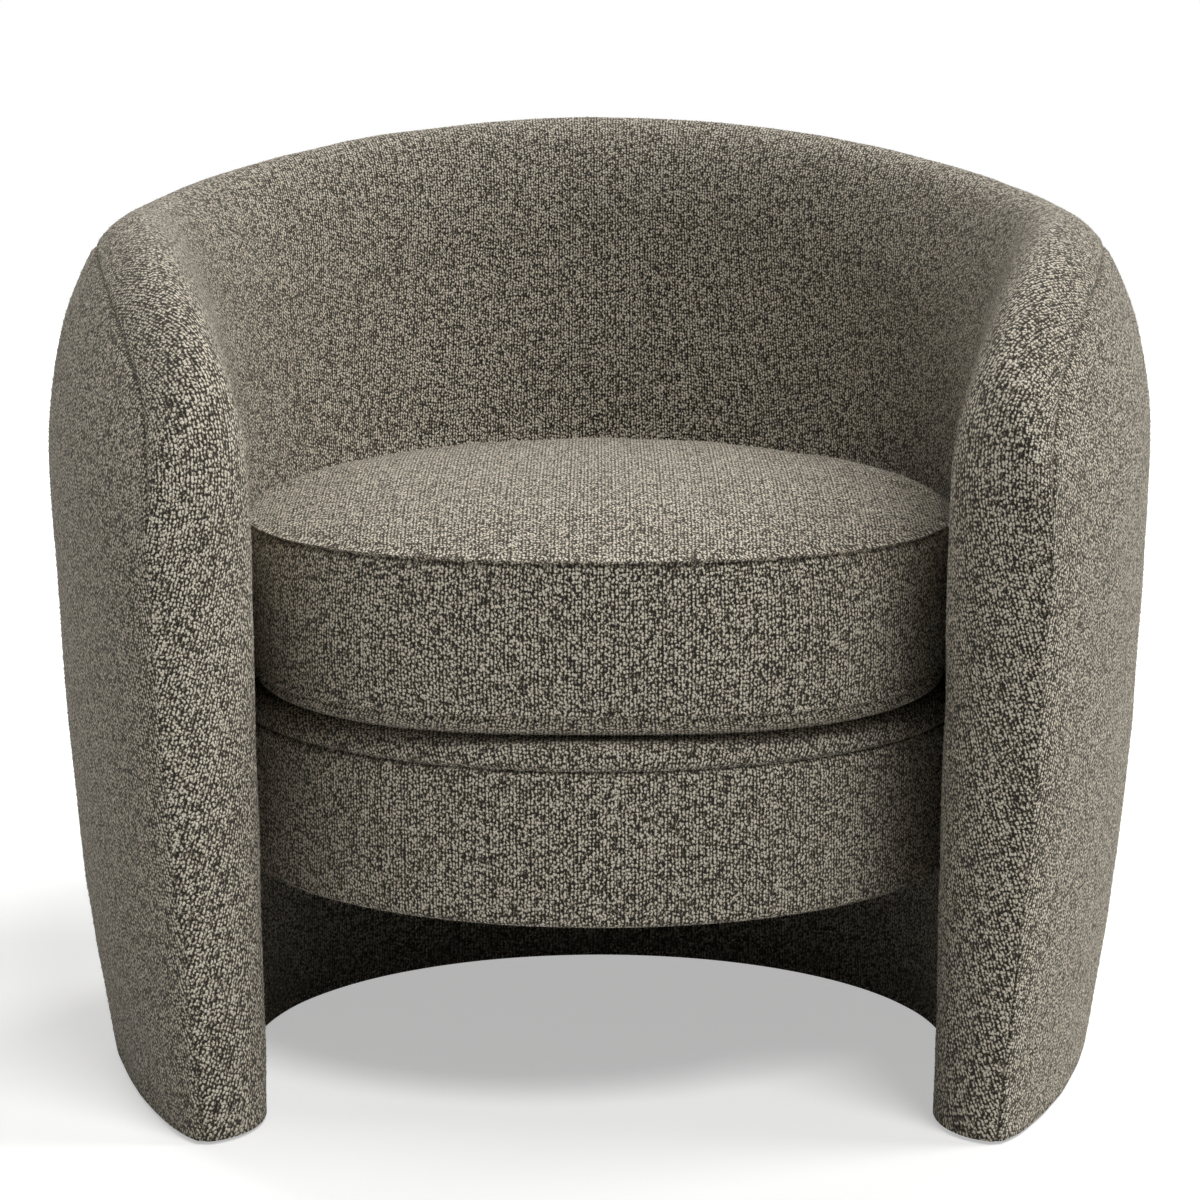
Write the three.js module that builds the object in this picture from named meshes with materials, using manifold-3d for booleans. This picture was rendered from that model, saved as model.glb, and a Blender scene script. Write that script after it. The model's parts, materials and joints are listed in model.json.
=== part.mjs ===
import * as THREE from 'three'
import { mergeVertices } from 'three/addons/utils/BufferGeometryUtils.js'
import Module from 'manifold-3d'

const wasm = await Module()
wasm.setup()

// Tub chair, millimetres, +Z up, front towards -Y, floor at z = 0.
// Depths are counted from the front tips of the arms and moved to the middle of the chair at the end.

// Overall sizes
const overall_width = 864
const overall_depth = 770
const overall_height = 704

// Shell outline: pairs of height share and size share
const outer_width_shares = [
  [0, 0.909], [0.142, 0.946], [0.284, 0.97], [0.427, 0.986], [0.6, 0.998], [0.68, 1], [1, 1],
]
const outer_back_shares = [
  [0, 0.815], [0.142, 0.857], [0.284, 0.899], [0.427, 0.938], [0.569, 0.97], [0.683, 0.99], [0.78, 1], [1, 1],
]
const inner_width_shares = [[0, 0.625], [0.2, 0.637], [0.4, 0.65], [0.61, 0.66], [0.8, 0.69], [1, 0.72]]
const inner_back_shares = [
  [0, 0.66], [0.2, 0.708], [0.4, 0.757], [0.61, 0.799], [0.74, 0.823], [0.86, 0.842], [1, 0.855],
]
const inner_widest_shares = [[0, 0.312], [0.61, 0.4286], [1, 0.45]]
const nose_width_shares = [[0, 0.656], [0.3, 0.7], [0.583, 0.727], [0.65, 0.731], [1, 0.74]]
const nose_inner_shares = [[0, 0.522], [0.61, 0.537], [1, 0.54]]
const outer_widest_share = 0.4545
const nose_length_share = 0.104
const outer_nose_power = 1.4
const inner_nose_power = 1.6
const inner_sweep_power = 1.5

// Rim of the shell
const side_height_share = 0.917
const rim_rise_power = 1.7
const nose_height_share = 0.626
const crest_share_side = 0.38
const crest_share_back = 0.5
const inner_roll_side_share = 0.17
const inner_roll_back_share = 0.13
const outer_roll_side_share = 0.25
const outer_roll_back_share = 0.2
const outer_shoulder_power = 1.08
const cover_seam_turn = 0.67 * Math.PI

// Layers of the shell, from the cloth inwards
const cloth_thickness = 2.5
const layer_gap = 0.5
const frame_gap = 1
const inside_foam_thickness = 24
const outside_foam_thickness = 12
const board_thickness = 3
const seam_gap = 0.4
const foam_trim = 6

// Wooden frame
const ply_thickness = 18
const rib_thickness = 24
const lap_depth = 44
const cover_foot = 3
const base_plate_bottom = 4.8
const lining_bottom = 3.3
const top_plate_share = 0.7926
const lining_thickness = 1
const joint_gap = 0.4
const front_rib_share = 0.0935
const board_place_share = 0.8
const frame_place_share = 0.88

// Seat drum
const seat_radius_share = 0.66
const seat_front_share = 0.0584
const drum_bottom = 147
const drum_seam = 262
const deck_top = 283
const deck_edge_radius = 18
const border_foam_thickness = 12
const front_board_thickness = 4
const seat_ring_width = 50
const drum_edge_radius = 6
const turned_edge = 30
const front_board_setback = 90
const post_size = 36
const side_post_setback = 30
const front_post_turn = 0.28 * Math.PI
const lower_ring_bottom = 153
const upper_ring_bottom = 226
const shell_clearance = 0.7
const well_overlap = 10
const well_place_share = 0.85
const well_levels = 4
const whole_wall = 1
const deck_foam_bottom = 258

// Springs
const spring_wire = 4
const spring_lift = 7
const spring_half_width = 22
const spring_bar_step = 25
const spring_end_bar = 11
const wire_arc_steps = 3
const spring_count = 4
const spring_spacing_share = 0.302
const spring_tension = 0.5
const clip_thickness = 1.2
const clip_width = 16
const clip_tail = 10
const clip_lip = 4

// Seat cushion
const cushion_gap = 5
const core_gap = 1.5
const cushion_setback = 3
const cushion_rest_gap = 0.4
const cushion_bottom = deck_top + cushion_rest_gap
const cushion_low_seam = 303
const cushion_top_seam = 415
const cushion_crown_top = 449
const boxing_bulge = 4
const cushion_angles = 28
const crown_shares = [[1, 0], [0.98, 0.24], [0.92, 0.47], [0.78, 0.74], [0.45, 0.95], [0, 1]]
const low_crown_shares = [[1, 0], [0.995, 0.5], [0.965, 0.85], [0.9, 1], [0, 1]]
const boxing_shares = [0, 0.12, 0.5, 0.88, 1]
const zip_level = 357
const zip_half_angle = 0.22 * Math.PI
const slider_closed_turn = 0.19 * Math.PI
const zip_slot_height = 12
const zip_tape_height = 20
const zip_chain_height = 6
const zip_chain_depth = 1.5
const zip_tape_depth = 0.8
const zip_tape_share = 0.985
const zip_chain_share = 0.97
const zip_recess = 9
const zip_cut_margin = 20
const zip_steps = 10
const slider_height = 9
const slider_width = 11
const slider_depth = 1.4
const slider_tab_height = 5
const slider_tab_length = 30

// Feet and bolts
const glide_radius = 13
const glide_height = 3
const glide_pin_radius = 2
const glide_pin_length = 12
const bolt_radius = 4
const bolt_head_radius = 8
const bolt_head_height = 5
const bolt_length = 110
const round_sides = 40
const small_sides = 8
const hex_sides = 6
const deck_edge_steps = 3
const drum_edge_steps = 2
const bolt_height = 200

// Finishes
const cloth = { color: 0x6b6256, roughness: 0.95 }
const lining_cloth = { color: 0x1d1c1b, roughness: 0.95 }
const foam = { color: 0xd9cfa8, roughness: 0.9 }
const wadding = { color: 0xe8e6e0, roughness: 0.95 }
const plywood = { color: 0xc9a878, roughness: 0.7 }
const timber = { color: 0xb98f5e, roughness: 0.75 }
const fibreboard = { color: 0x8a6a48, roughness: 0.85 }
const steel = { color: 0x9a9da1, roughness: 0.35 }
const black_plastic = { color: 0x1d1c1b, roughness: 0.6 }

// Sizes that follow from these
const half_width = overall_width / 2
const seat_radius = half_width * seat_radius_share
const seat_front = overall_depth * seat_front_share
const seat_centre = seat_front + seat_radius
const front_board_depth = seat_centre - front_board_setback
const side_post_depth = seat_centre - side_post_setback
const front_rib_depth = overall_depth * front_rib_share
const cushion_front_radius = seat_radius - cushion_setback
const middle_plate_bottom = upper_ring_bottom
const top_plate_bottom = overall_height * top_plate_share
const spring_spacing = seat_radius * spring_spacing_share
const spring_place = (k) => (k - (spring_count - 1) / 2) * spring_spacing
const spring_places = Array.from({ length: spring_count }, (_, k) => spring_place(k))
const side_height = overall_height * side_height_share
const nose_height = overall_height * nose_height_share
const outer_widest = overall_depth * outer_widest_share
const nose_length = overall_depth * nose_length_share
const turn_place = 0.5
const back_columns = 6
const front_columns = 7
const last_place_share = 0.995
const least_roll_share = 0.1
const straight_rows = 3
const inner_roll_rows = 5
const outer_roll_rows = 3
const outer_straight_rows = straight_rows + inner_roll_rows - outer_roll_rows

// Smooth value through a table of pairs
function along(table, where) {
  const last = table.length - 1
  const place = Math.min(Math.max(where, table[0][0]), table[last][0])
  let index = 0
  while (index < last - 1 && place > table[index + 1][0]) index += 1
  const slope = (k) => {
    const before = table[Math.max(k - 1, 0)]
    const after = table[Math.min(k + 1, last)]
    return (after[1] - before[1]) / (after[0] - before[0])
  }
  const [x0, y0] = table[index]
  const [x1, y1] = table[index + 1]
  const step = x1 - x0
  const t = (place - x0) / step
  const a = y0 * (1 + 2 * t) * (1 - t) ** 2
  const b = slope(index) * step * t * (1 - t) ** 2
  const c = y1 * t * t * (3 - 2 * t)
  const d = slope(index + 1) * step * t * t * (t - 1)
  return a + b + c + d
}

const mix = (a, b, t) => a + (b - a) * t

const outer_half = (z) => half_width * along(outer_width_shares, z / overall_height)
const outer_back = (z) => overall_depth * along(outer_back_shares, z / overall_height)
const inner_half = (z) => half_width * along(inner_width_shares, z / overall_height)
const inner_back = (z) => overall_depth * along(inner_back_shares, z / overall_height)
const inner_widest = (z) => overall_depth * along(inner_widest_shares, z / overall_height)
const nose_half = (z) => half_width * along(nose_width_shares, z / overall_height)
const nose_inner = (z) => half_width * along(nose_inner_shares, z / overall_height)

// Share of a rounded corner that is left at a share of its length
const corner_left = (share, power) => (1 - Math.min(Math.max(share, 0), 1) ** power) ** (1 / power)

// Turn of a place: up to the widest line it runs round the back, then it runs to the nose
function place_turns(place) {
  const size = Math.abs(place)
  const back = Math.min(size / turn_place, 1)
  const front = Math.max((size - turn_place) / (1 - turn_place), 0)
  return { back_turn: (1 - back) * Math.PI / 2, front_turn: front * Math.PI / 2 }
}

// Inner and outer point of the wall in plan
function wall_points(place, z, inset) {
  const { back_turn, front_turn } = place_turns(place)
  const side = Math.sign(place) || 1
  const widest = inner_widest(z)
  const nose = nose_half(z)
  let inner = [(inner_half(z) + inset) * Math.cos(back_turn), 0]
  inner[1] = widest + (inner_back(z) + inset - widest) * Math.sin(back_turn)
  let outer = [(outer_half(z) - inset) * Math.cos(back_turn), 0]
  outer[1] = outer_widest + (outer_back(z) - inset - outer_widest) * Math.sin(back_turn)
  if (front_turn > 0) {
    const inner_y = inset + (widest - inset) * (1 - Math.sin(front_turn))
    const outer_y = inset + (outer_widest - inset) * (1 - Math.sin(front_turn))
    const sweep = ((widest - inner_y) / widest) ** inner_sweep_power
    const line = mix(inner_half(z), nose_inner(z), sweep) + inset
    const round_length = nose_length - Math.min(inset, nose_length / 2)
    const round = corner_left(1 - (inner_y - inset) / round_length, inner_nose_power)
    inner = [mix(nose, line, round), inner_y]
    const spread = corner_left(Math.sin(front_turn), outer_nose_power)
    outer = [nose + (outer_half(z) - inset - nose) * spread, outer_y]
  }
  return { inner: [side * inner[0], inner[1]], outer: [side * outer[0], outer[1]] }
}

function wall_thickness(place, z) {
  const { inner, outer } = wall_points(place, z, 0)
  return Math.hypot(outer[0] - inner[0], outer[1] - inner[1])
}

const side_thickness = wall_thickness(turn_place, nose_height)

function rim_height(place) {
  const { back_turn, front_turn } = place_turns(place)
  const back = mix(side_height, overall_height, Math.sin(back_turn) ** rim_rise_power)
  return front_turn > 0 ? mix(nose_height, side_height, Math.cos(front_turn)) : back
}

function roll_heights(place) {
  const { back_turn } = place_turns(place)
  const share = Math.sin(back_turn) ** 2
  const thin = Math.min(Math.sqrt(wall_thickness(place, nose_height) / side_thickness), 1)
  const inner = mix(inner_roll_side_share, inner_roll_back_share, share) * overall_height * thin
  const outer = mix(outer_roll_side_share, outer_roll_back_share, share) * overall_height * thin
  return { inner, outer }
}

// Point of the rolled rim: turn 0 on the inner wall, half a turn on the outer wall
function roll_point(place, turn, inset) {
  const { back_turn } = place_turns(place)
  const rolls = roll_heights(place)
  const whole = turn < Math.PI / 2 ? rolls.inner : rolls.outer
  const roll = Math.max(whole - inset, whole * least_roll_share)
  const top = rim_height(place) - inset
  const lift = turn < Math.PI / 2 ? Math.sin(turn) : Math.max(Math.sin(turn), 0) ** outer_shoulder_power
  const z = top - roll + roll * lift
  const { inner, outer } = wall_points(place, z, inset)
  const crest = mix(crest_share_side, crest_share_back, Math.sin(back_turn) ** 2)
  const swing = Math.cos(turn)
  const share = swing > 0 ? crest * (1 - swing) : crest - (1 - crest) * swing
  return new THREE.Vector3(mix(inner[0], outer[0], share), mix(inner[1], outer[1], share), z)
}

function wall_point(place, z, inset, outside) {
  const { inner, outer } = wall_points(place, z, inset)
  const point = outside ? outer : inner
  return new THREE.Vector3(point[0], point[1], z)
}

// Turn that a seam gap takes at a place
function gap_turn(place) {
  const rolls = roll_heights(place)
  const reach = wall_thickness(place, nose_height) / 2 + rolls.outer / 2
  return seam_gap / Math.max(reach, 4 * seam_gap)
}

// Column of points from the foot of the inner wall over the rim to the cover seam
function inside_column(place, inset, foot, trim) {
  const start = roll_point(place, 0, inset).z
  const points = []
  for (let row = 0; row < straight_rows; row += 1) {
    points.push(wall_point(place, row ? start * row / straight_rows : foot, inset, false))
  }
  const end = cover_seam_turn - trim * gap_turn(place)
  for (let row = 0; row <= inner_roll_rows; row += 1) {
    points.push(roll_point(place, end * row / inner_roll_rows, inset))
  }
  return points
}

// Column of points from the foot of the outer wall up to the cover seam
function outside_column(place, inset, foot, trim, seam_inset) {
  const start = roll_point(place, Math.PI, inset).z
  const points = []
  for (let row = 0; row < outer_straight_rows; row += 1) {
    points.push(wall_point(place, row ? start * row / outer_straight_rows : foot, inset, true))
  }
  const end = cover_seam_turn + trim * gap_turn(place)
  for (let row = 0; row <= outer_roll_rows; row += 1) {
    const share = row / outer_roll_rows
    points.push(roll_point(place, mix(Math.PI, end, share), mix(inset, seam_inset, share)))
  }
  return points
}

function places_between(first, last) {
  const list = []
  for (let k = -back_columns - front_columns; k <= back_columns + front_columns; k += 1) {
    const size = Math.abs(k)
    const back = size / back_columns * turn_place
    const front = turn_place + (size - back_columns) / front_columns * (1 - turn_place)
    const place = Math.sign(k) * (size <= back_columns ? back : Math.min(front, last_place_share))
    if (place >= first && place <= last) list.push(place)
  }
  return list
}

// Closed body between two grids of points of the same size
function body_between(near, far) {
  const points = []
  const columns = near.length
  const rows = near[0].length
  for (const grid of [near, far]) for (const column of grid) points.push(...column)
  const at = (grid, i, j) => grid * columns * rows + i * rows + j
  const faces = []
  const quad = (a, b, c, d) => faces.push([a, b, c], [a, c, d])
  for (let i = 0; i < columns - 1; i += 1) {
    for (let j = 0; j < rows - 1; j += 1) {
      quad(at(0, i, j), at(0, i + 1, j), at(0, i + 1, j + 1), at(0, i, j + 1))
      quad(at(1, i, j), at(1, i, j + 1), at(1, i + 1, j + 1), at(1, i + 1, j))
    }
    quad(at(0, i + 1, 0), at(0, i, 0), at(1, i, 0), at(1, i + 1, 0))
    quad(at(0, i, rows - 1), at(0, i + 1, rows - 1), at(1, i + 1, rows - 1), at(1, i, rows - 1))
  }
  for (let j = 0; j < rows - 1; j += 1) {
    quad(at(0, 0, j), at(0, 0, j + 1), at(1, 0, j + 1), at(1, 0, j))
    quad(at(0, columns - 1, j + 1), at(0, columns - 1, j), at(1, columns - 1, j), at(1, columns - 1, j + 1))
  }
  return geometry_of(points, faces)
}

// Closed body of rings of points; a ring that is one point closes the end
function body_of_rings(rings, joined) {
  const points = []
  const starts = []
  for (const ring of rings) {
    starts.push(points.length)
    points.push(...ring)
  }
  const faces = []
  const count = Math.max(...rings.map((ring) => ring.length))
  const last = joined ? rings.length : rings.length - 1
  for (let i = 0; i < last; i += 1) {
    const next = (i + 1) % rings.length
    for (let j = 0; j < count; j += 1) {
      const a = starts[i] + j % rings[i].length
      const b = starts[i] + (j + 1) % rings[i].length
      const c = starts[next] + (j + 1) % rings[next].length
      const d = starts[next] + j % rings[next].length
      if (rings[i].length > 1) faces.push([a, b, c])
      if (rings[next].length > 1) faces.push([a, c, d])
    }
  }
  return geometry_of(points, faces)
}

// Geometry with outward faces and no empty triangles
function geometry_of(points, faces) {
  const positions = points.flatMap((p) => [p.x, p.y, p.z])
  const raw = new THREE.BufferGeometry()
  raw.setAttribute('position', new THREE.Float32BufferAttribute(positions, 3))
  raw.setIndex(faces.flat())
  const merged = mergeVertices(raw, 1e-3)
  const index = merged.getIndex().array
  const place = merged.getAttribute('position')
  const kept = []
  let volume = 0
  const corner = [new THREE.Vector3(), new THREE.Vector3(), new THREE.Vector3()]
  for (let k = 0; k < index.length; k += 3) {
    const [a, b, c] = [index[k], index[k + 1], index[k + 2]]
    if (a === b || b === c || c === a) continue
    kept.push([a, b, c])
    corner[0].fromBufferAttribute(place, a)
    corner[1].fromBufferAttribute(place, b)
    corner[2].fromBufferAttribute(place, c)
    volume += corner[0].dot(corner[1].cross(corner[2]))
  }
  if (volume < 0) for (const face of kept) face.reverse()
  merged.setIndex(kept.flat())
  return merged
}

// Solids for cutting and joining
function solid_of(geometry) {
  const bare = geometry.clone()
  for (const name of ['normal', 'uv']) bare.deleteAttribute(name)
  const merged = mergeVertices(bare, 1e-3)
  const index = merged.getIndex().array
  const kept = []
  for (let k = 0; k < index.length; k += 3) {
    const [a, b, c] = [index[k], index[k + 1], index[k + 2]]
    if (a !== b && b !== c && c !== a) kept.push(a, b, c)
  }
  const vertProperties = new Float32Array(merged.getAttribute('position').array)
  const triVerts = new Uint32Array(kept)
  return new wasm.Manifold(new wasm.Mesh({ numProp: 3, vertProperties, triVerts }))
}

function geometry_from(solid) {
  const mesh = solid.getMesh()
  const geometry = new THREE.BufferGeometry()
  geometry.setAttribute('position', new THREE.Float32BufferAttribute(mesh.vertProperties, 3))
  geometry.setIndex(Array.from(mesh.triVerts))
  return geometry
}

function cylinder(radius, height, sides) {
  const upright = new THREE.CylinderGeometry(radius, radius, height, sides).rotateX(Math.PI / 2)
  return upright.translate(0, 0, height / 2)
}

function add_part(group, name, geometry, finish) {
  const mesh = new THREE.Mesh(geometry, new THREE.MeshStandardMaterial(finish))
  mesh.name = name
  mesh.geometry.translate(0, -overall_depth / 2, 0)
  group.add(mesh)
}

// Shell layers
function inside_layer(first_inset, last_inset, foot, trim) {
  const places = places_between(-whole_wall, whole_wall)
  const near = places.map((place) => inside_column(place, first_inset, foot, trim))
  const far = places.map((place) => inside_column(place, last_inset, foot, trim))
  return body_between(near, far)
}

function outside_layer(first_inset, last_inset, foot, trim) {
  const places = places_between(-whole_wall, whole_wall)
  const near = places.map((place) => outside_column(place, first_inset, foot, trim, first_inset))
  const far = places.map((place) => outside_column(place, last_inset, foot, trim, last_inset))
  return body_between(near, far)
}

// Whole wall as one solid, with its own inset inside and outside
function wall_solid(inner_inset, outer_inset, foot, reach) {
  const places = places_between(-reach, reach)
  const near = places.map((place) => inside_column(place, inner_inset, foot, 0))
  const far = places.map((place) => outside_column(place, outer_inset, foot, 0, inner_inset))
  return solid_of(body_between(near, far))
}

// Board of the wall, from a plate up to the start of the roll
function wall_board(inset, foot, reach, outside) {
  const column = (place, depth) => {
    const start = roll_point(place, outside ? Math.PI : 0, inset).z
    const rows = outside ? outer_straight_rows : straight_rows
    const points = []
    for (let row = 0; row <= rows; row += 1) {
      points.push(wall_point(place, row ? start * row / rows : foot, depth, outside))
    }
    return points
  }
  const places = places_between(-reach, reach)
  const near = places.map((place) => column(place, inset))
  const far = places.map((place) => column(place, inset + board_thickness))
  return body_between(near, far)
}

// Ring of the drum or of the cushion round the seat centre
function round_ring(radius_from, radius_to, low, high, sides) {
  const outer = solid_of(cylinder(radius_to, high - low, sides).translate(0, seat_centre, low))
  if (radius_from <= 0) return outer
  const cutter = cylinder(radius_from, high - low + 2 * ply_thickness, sides)
  return outer.subtract(solid_of(cutter.translate(0, seat_centre, low - ply_thickness)))
}

const inside_foam_inset = cloth_thickness + layer_gap
const inside_board_inset = inside_foam_inset + inside_foam_thickness + layer_gap
const inside_frame_inset = inside_board_inset + board_thickness + frame_gap
const outside_board_inset = inside_foam_inset + outside_foam_thickness + layer_gap
const outside_frame_inset = outside_board_inset + board_thickness + frame_gap
const middle_plate_top = middle_plate_bottom + ply_thickness
const base_plate_top = base_plate_bottom + ply_thickness
const upper_ring_top = upper_ring_bottom + ply_thickness
const lower_ring_top = lower_ring_bottom + ply_thickness

const wall_core = wall_solid(inside_frame_inset, outside_frame_inset, 0, frame_place_share)
const wall_clear = wall_solid(-shell_clearance, -shell_clearance, 0, whole_wall)
const wall_wide = wall_solid(-seat_ring_width, -seat_ring_width, 0, whole_wall)

function block(width, depth, height, x, y, z) {
  return new THREE.BoxGeometry(width, depth, height).translate(x, y, z + height / 2)
}

// Space between the walls, as wide as their middle and closed across the front of the seat
function well_solid() {
  const places = places_between(-well_place_share, well_place_share)
  const rings = []
  for (let level = 0; level <= well_levels; level += 1) {
    const z = overall_height * level / well_levels
    rings.push(places.map((place) => wall_point(place, z, well_overlap, false)))
  }
  const middle = (z) => [new THREE.Vector3(0, seat_centre, z)]
  return solid_of(body_of_rings([middle(0), ...rings, middle(overall_height)], false))
}

const seat_well = well_solid()

// What is left of a solid between the walls
const between_walls = (solid) => solid.intersect(seat_well).subtract(wall_clear)

// A round solid of the drum, carried back square from its middle to the wall
function carried_back(solid, low, high) {
  const behind = block(2 * overall_width, overall_depth, high - low, 0, seat_centre + overall_depth / 2, low)
  return solid.add(solid_of(behind))
}

function slab(low, high) {
  return solid_of(block(2 * overall_width, 3 * overall_depth, high - low, 0, 0, low))
}

function wall_slice(solid, low, high) {
  return solid.intersect(slab(low, high))
}

// Feet: a disc with a pin, spread along the middle of the wall
function glide_spot(place) {
  const inner = wall_points(place, 0, inside_frame_inset).inner
  const outer = wall_points(place, 0, outside_frame_inset).outer
  return [(inner[0] + outer[0]) / 2, (inner[1] + outer[1]) / 2]
}

function glide(place) {
  const [x, y] = glide_spot(place)
  const pin = solid_of(cylinder(glide_pin_radius, glide_pin_length, small_sides))
  const disc = solid_of(cylinder(glide_radius, glide_height, 2 * small_sides))
  return geometry_from(disc.add(pin)).translate(x, y, 0)
}

function glide_hole(place) {
  const [x, y] = glide_spot(place)
  const radius = glide_pin_radius + joint_gap
  return solid_of(cylinder(radius, glide_pin_length + joint_gap, small_sides).translate(x, y, 0))
}

function cut_all(solid, cutters) {
  return cutters.reduce((left, cutter) => left.subtract(cutter), solid)
}

// Bolts from the seat posts into the ribs
function bolt_solid(radius, head_radius, extra) {
  const shaft = solid_of(cylinder(radius, bolt_length + extra, small_sides))
  const head = solid_of(cylinder(head_radius, bolt_head_height, hex_sides).translate(0, 0, -bolt_head_height))
  return shaft.add(head)
}

function laid(solid, turn, spot) {
  const geometry = geometry_from(solid).rotateY(Math.PI / 2).rotateZ(turn)
  return solid_of(geometry.translate(spot[0], spot[1], bolt_height))
}

const ring_middle = seat_radius - cloth_thickness - border_foam_thickness - seat_ring_width / 2
const side_post_x = ring_middle - post_size / 4
const back_post_depth = inner_back(lower_ring_bottom) - seat_ring_width / 2
const bolt_starts = [
  [Math.PI, [-side_post_x + post_size / 2, side_post_depth]],
  [0, [side_post_x - post_size / 2, side_post_depth]],
  [Math.PI / 2, [0, back_post_depth - post_size / 2]],
]
const bolt_hole = bolt_solid(bolt_radius + joint_gap, bolt_head_radius, joint_gap)
const bolt_holes = bolt_starts.map(([turn, spot]) => laid(bolt_hole, turn, spot))
const bolts = bolt_starts.map(([turn, spot]) => {
  const back = [spot[0] - joint_gap * Math.cos(turn), spot[1] - joint_gap * Math.sin(turn)]
  return laid(bolt_solid(bolt_radius, bolt_head_radius, 0), turn, back)
})

// Upright ribs between the base and top plates, half lapped with the middle plate: name, depth, half turns
const rib_list = [
  ['back', seat_centre, 0.5], ['back_left', seat_centre, 0.76], ['back_right', seat_centre, 0.24],
  ['side_left', side_post_depth, 1], ['side_right', side_post_depth, 0],
  ['front_left', front_rib_depth, 1], ['front_right', front_rib_depth, 0],
]

function rib_box(depth, half_turns, width, low, high) {
  const box = block(overall_width, width, high - low, overall_width / 2, 0, low)
  return solid_of(box.rotateZ(half_turns * Math.PI).translate(0, depth, 0))
}

function rib(depth, half_turns) {
  const low = base_plate_top + joint_gap
  const high = top_plate_bottom - joint_gap
  const upright = rib_box(depth, half_turns, rib_thickness, low, high).intersect(wall_core)
  const inner_half_wall = wall_solid(0, outside_frame_inset + lap_depth + joint_gap, 0, whole_wall)
  const level = slab(middle_plate_bottom - joint_gap, middle_plate_top + joint_gap)
  return cut_all(upright.subtract(level.subtract(inner_half_wall)), bolt_holes)
}

function lap_cut(depth, half_turns) {
  const width = rib_thickness + 2 * joint_gap
  const box = rib_box(depth, half_turns, width, middle_plate_bottom - joint_gap, middle_plate_top + joint_gap)
  return box.intersect(wall_solid(0, outside_frame_inset + lap_depth, 0, whole_wall))
}

// Drum pieces
function drum_plate(low) {
  const high = low + ply_thickness
  const layers = cloth_thickness + border_foam_thickness + front_board_thickness + 3 * layer_gap
  const radius = seat_radius - layers
  const whole = carried_back(round_ring(0, radius, low, high, round_sides), low, high)
  const hole_low = low - joint_gap
  const hole_high = high + joint_gap
  const round_hole = round_ring(0, radius - seat_ring_width, hole_low, hole_high, round_sides)
  return between_walls(whole).subtract(carried_back(round_hole, hole_low, hole_high).subtract(wall_wide))
}

function ring_at(radius, z, sides) {
  const points = []
  for (let k = 0; k < sides; k += 1) {
    const turn = k / sides * 2 * Math.PI
    points.push(new THREE.Vector3(radius * Math.cos(turn), seat_centre + radius * Math.sin(turn), z))
  }
  return radius > 0 ? points : points.slice(0, 1)
}

// Turned body of a profile of [radius, height] points
function turned(profile, joined) {
  return solid_of(body_of_rings(profile.map(([radius, z]) => ring_at(radius, z, round_sides)), joined))
}

function arc_points(radius, edge, centre_z, from, to, steps) {
  const points = []
  for (let k = 0; k <= steps; k += 1) {
    const turn = mix(from, to, k / steps)
    points.push([radius - edge + edge * Math.cos(turn), centre_z + edge * Math.sin(turn)])
  }
  return points
}

function deck_profile(inset, low) {
  const radius = seat_radius - inset
  const edge = deck_edge_radius - inset
  const rounded = arc_points(radius, edge, deck_top - deck_edge_radius, 0, Math.PI / 2, deck_edge_steps)
  return [[0, low], [radius, low], ...rounded, [0, deck_top - inset]]
}

function deck_body(inset, low) {
  return carried_back(turned(deck_profile(inset, low), false), low, deck_top - inset)
}

function deck_cover() {
  const seam = drum_seam + joint_gap
  const under = deck_body(cloth_thickness, seam - cloth_thickness)
  return between_walls(deck_body(0, seam).subtract(under))
}

function deck_pad() {
  return between_walls(deck_body(cloth_thickness + layer_gap, deck_foam_bottom))
}

function border_profile(inset) {
  const radius = seat_radius - inset
  const edge = drum_edge_radius - inset
  const low = drum_bottom + drum_edge_radius
  const rounded = arc_points(radius, edge, low, -Math.PI / 2, 0, drum_edge_steps)
  return [[seat_radius - turned_edge, drum_bottom + inset], ...rounded, [radius, drum_seam]]
}

function border_cover() {
  const whole = turned([...border_profile(0), ...border_profile(cloth_thickness).reverse()], true)
  return whole.intersect(front_block()).subtract(wall_clear)
}

function front_block() {
  return solid_of(block(2 * overall_width, 2 * front_board_depth, overall_height, 0, 0, 0))
}

function drum_layer(outer_inset, thickness, low, high) {
  const radius = seat_radius - outer_inset
  const ring = round_ring(radius - thickness, radius, low, high, round_sides)
  return ring.intersect(front_block()).subtract(wall_clear)
}

function seat_post(x, y) {
  const low = lower_ring_top + joint_gap
  const high = upper_ring_bottom - joint_gap
  return cut_all(solid_of(block(post_size, post_size, high - low, x, y, low)), bolt_holes)
}

// Springs across the ring with a bar at each end, held in folded clips
const wire_level = upper_ring_top + joint_gap + clip_thickness + joint_gap + spring_wire / 2

function spring_ends(x) {
  const front = seat_centre - Math.sqrt(ring_middle ** 2 - x ** 2)
  const widest = inner_widest(upper_ring_top)
  const deep = inner_back(upper_ring_top) - widest - seat_ring_width / 2
  const wide = inner_half(upper_ring_top) - seat_ring_width / 2
  return [front, widest + deep * Math.sqrt(1 - (x / wide) ** 2)]
}

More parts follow.
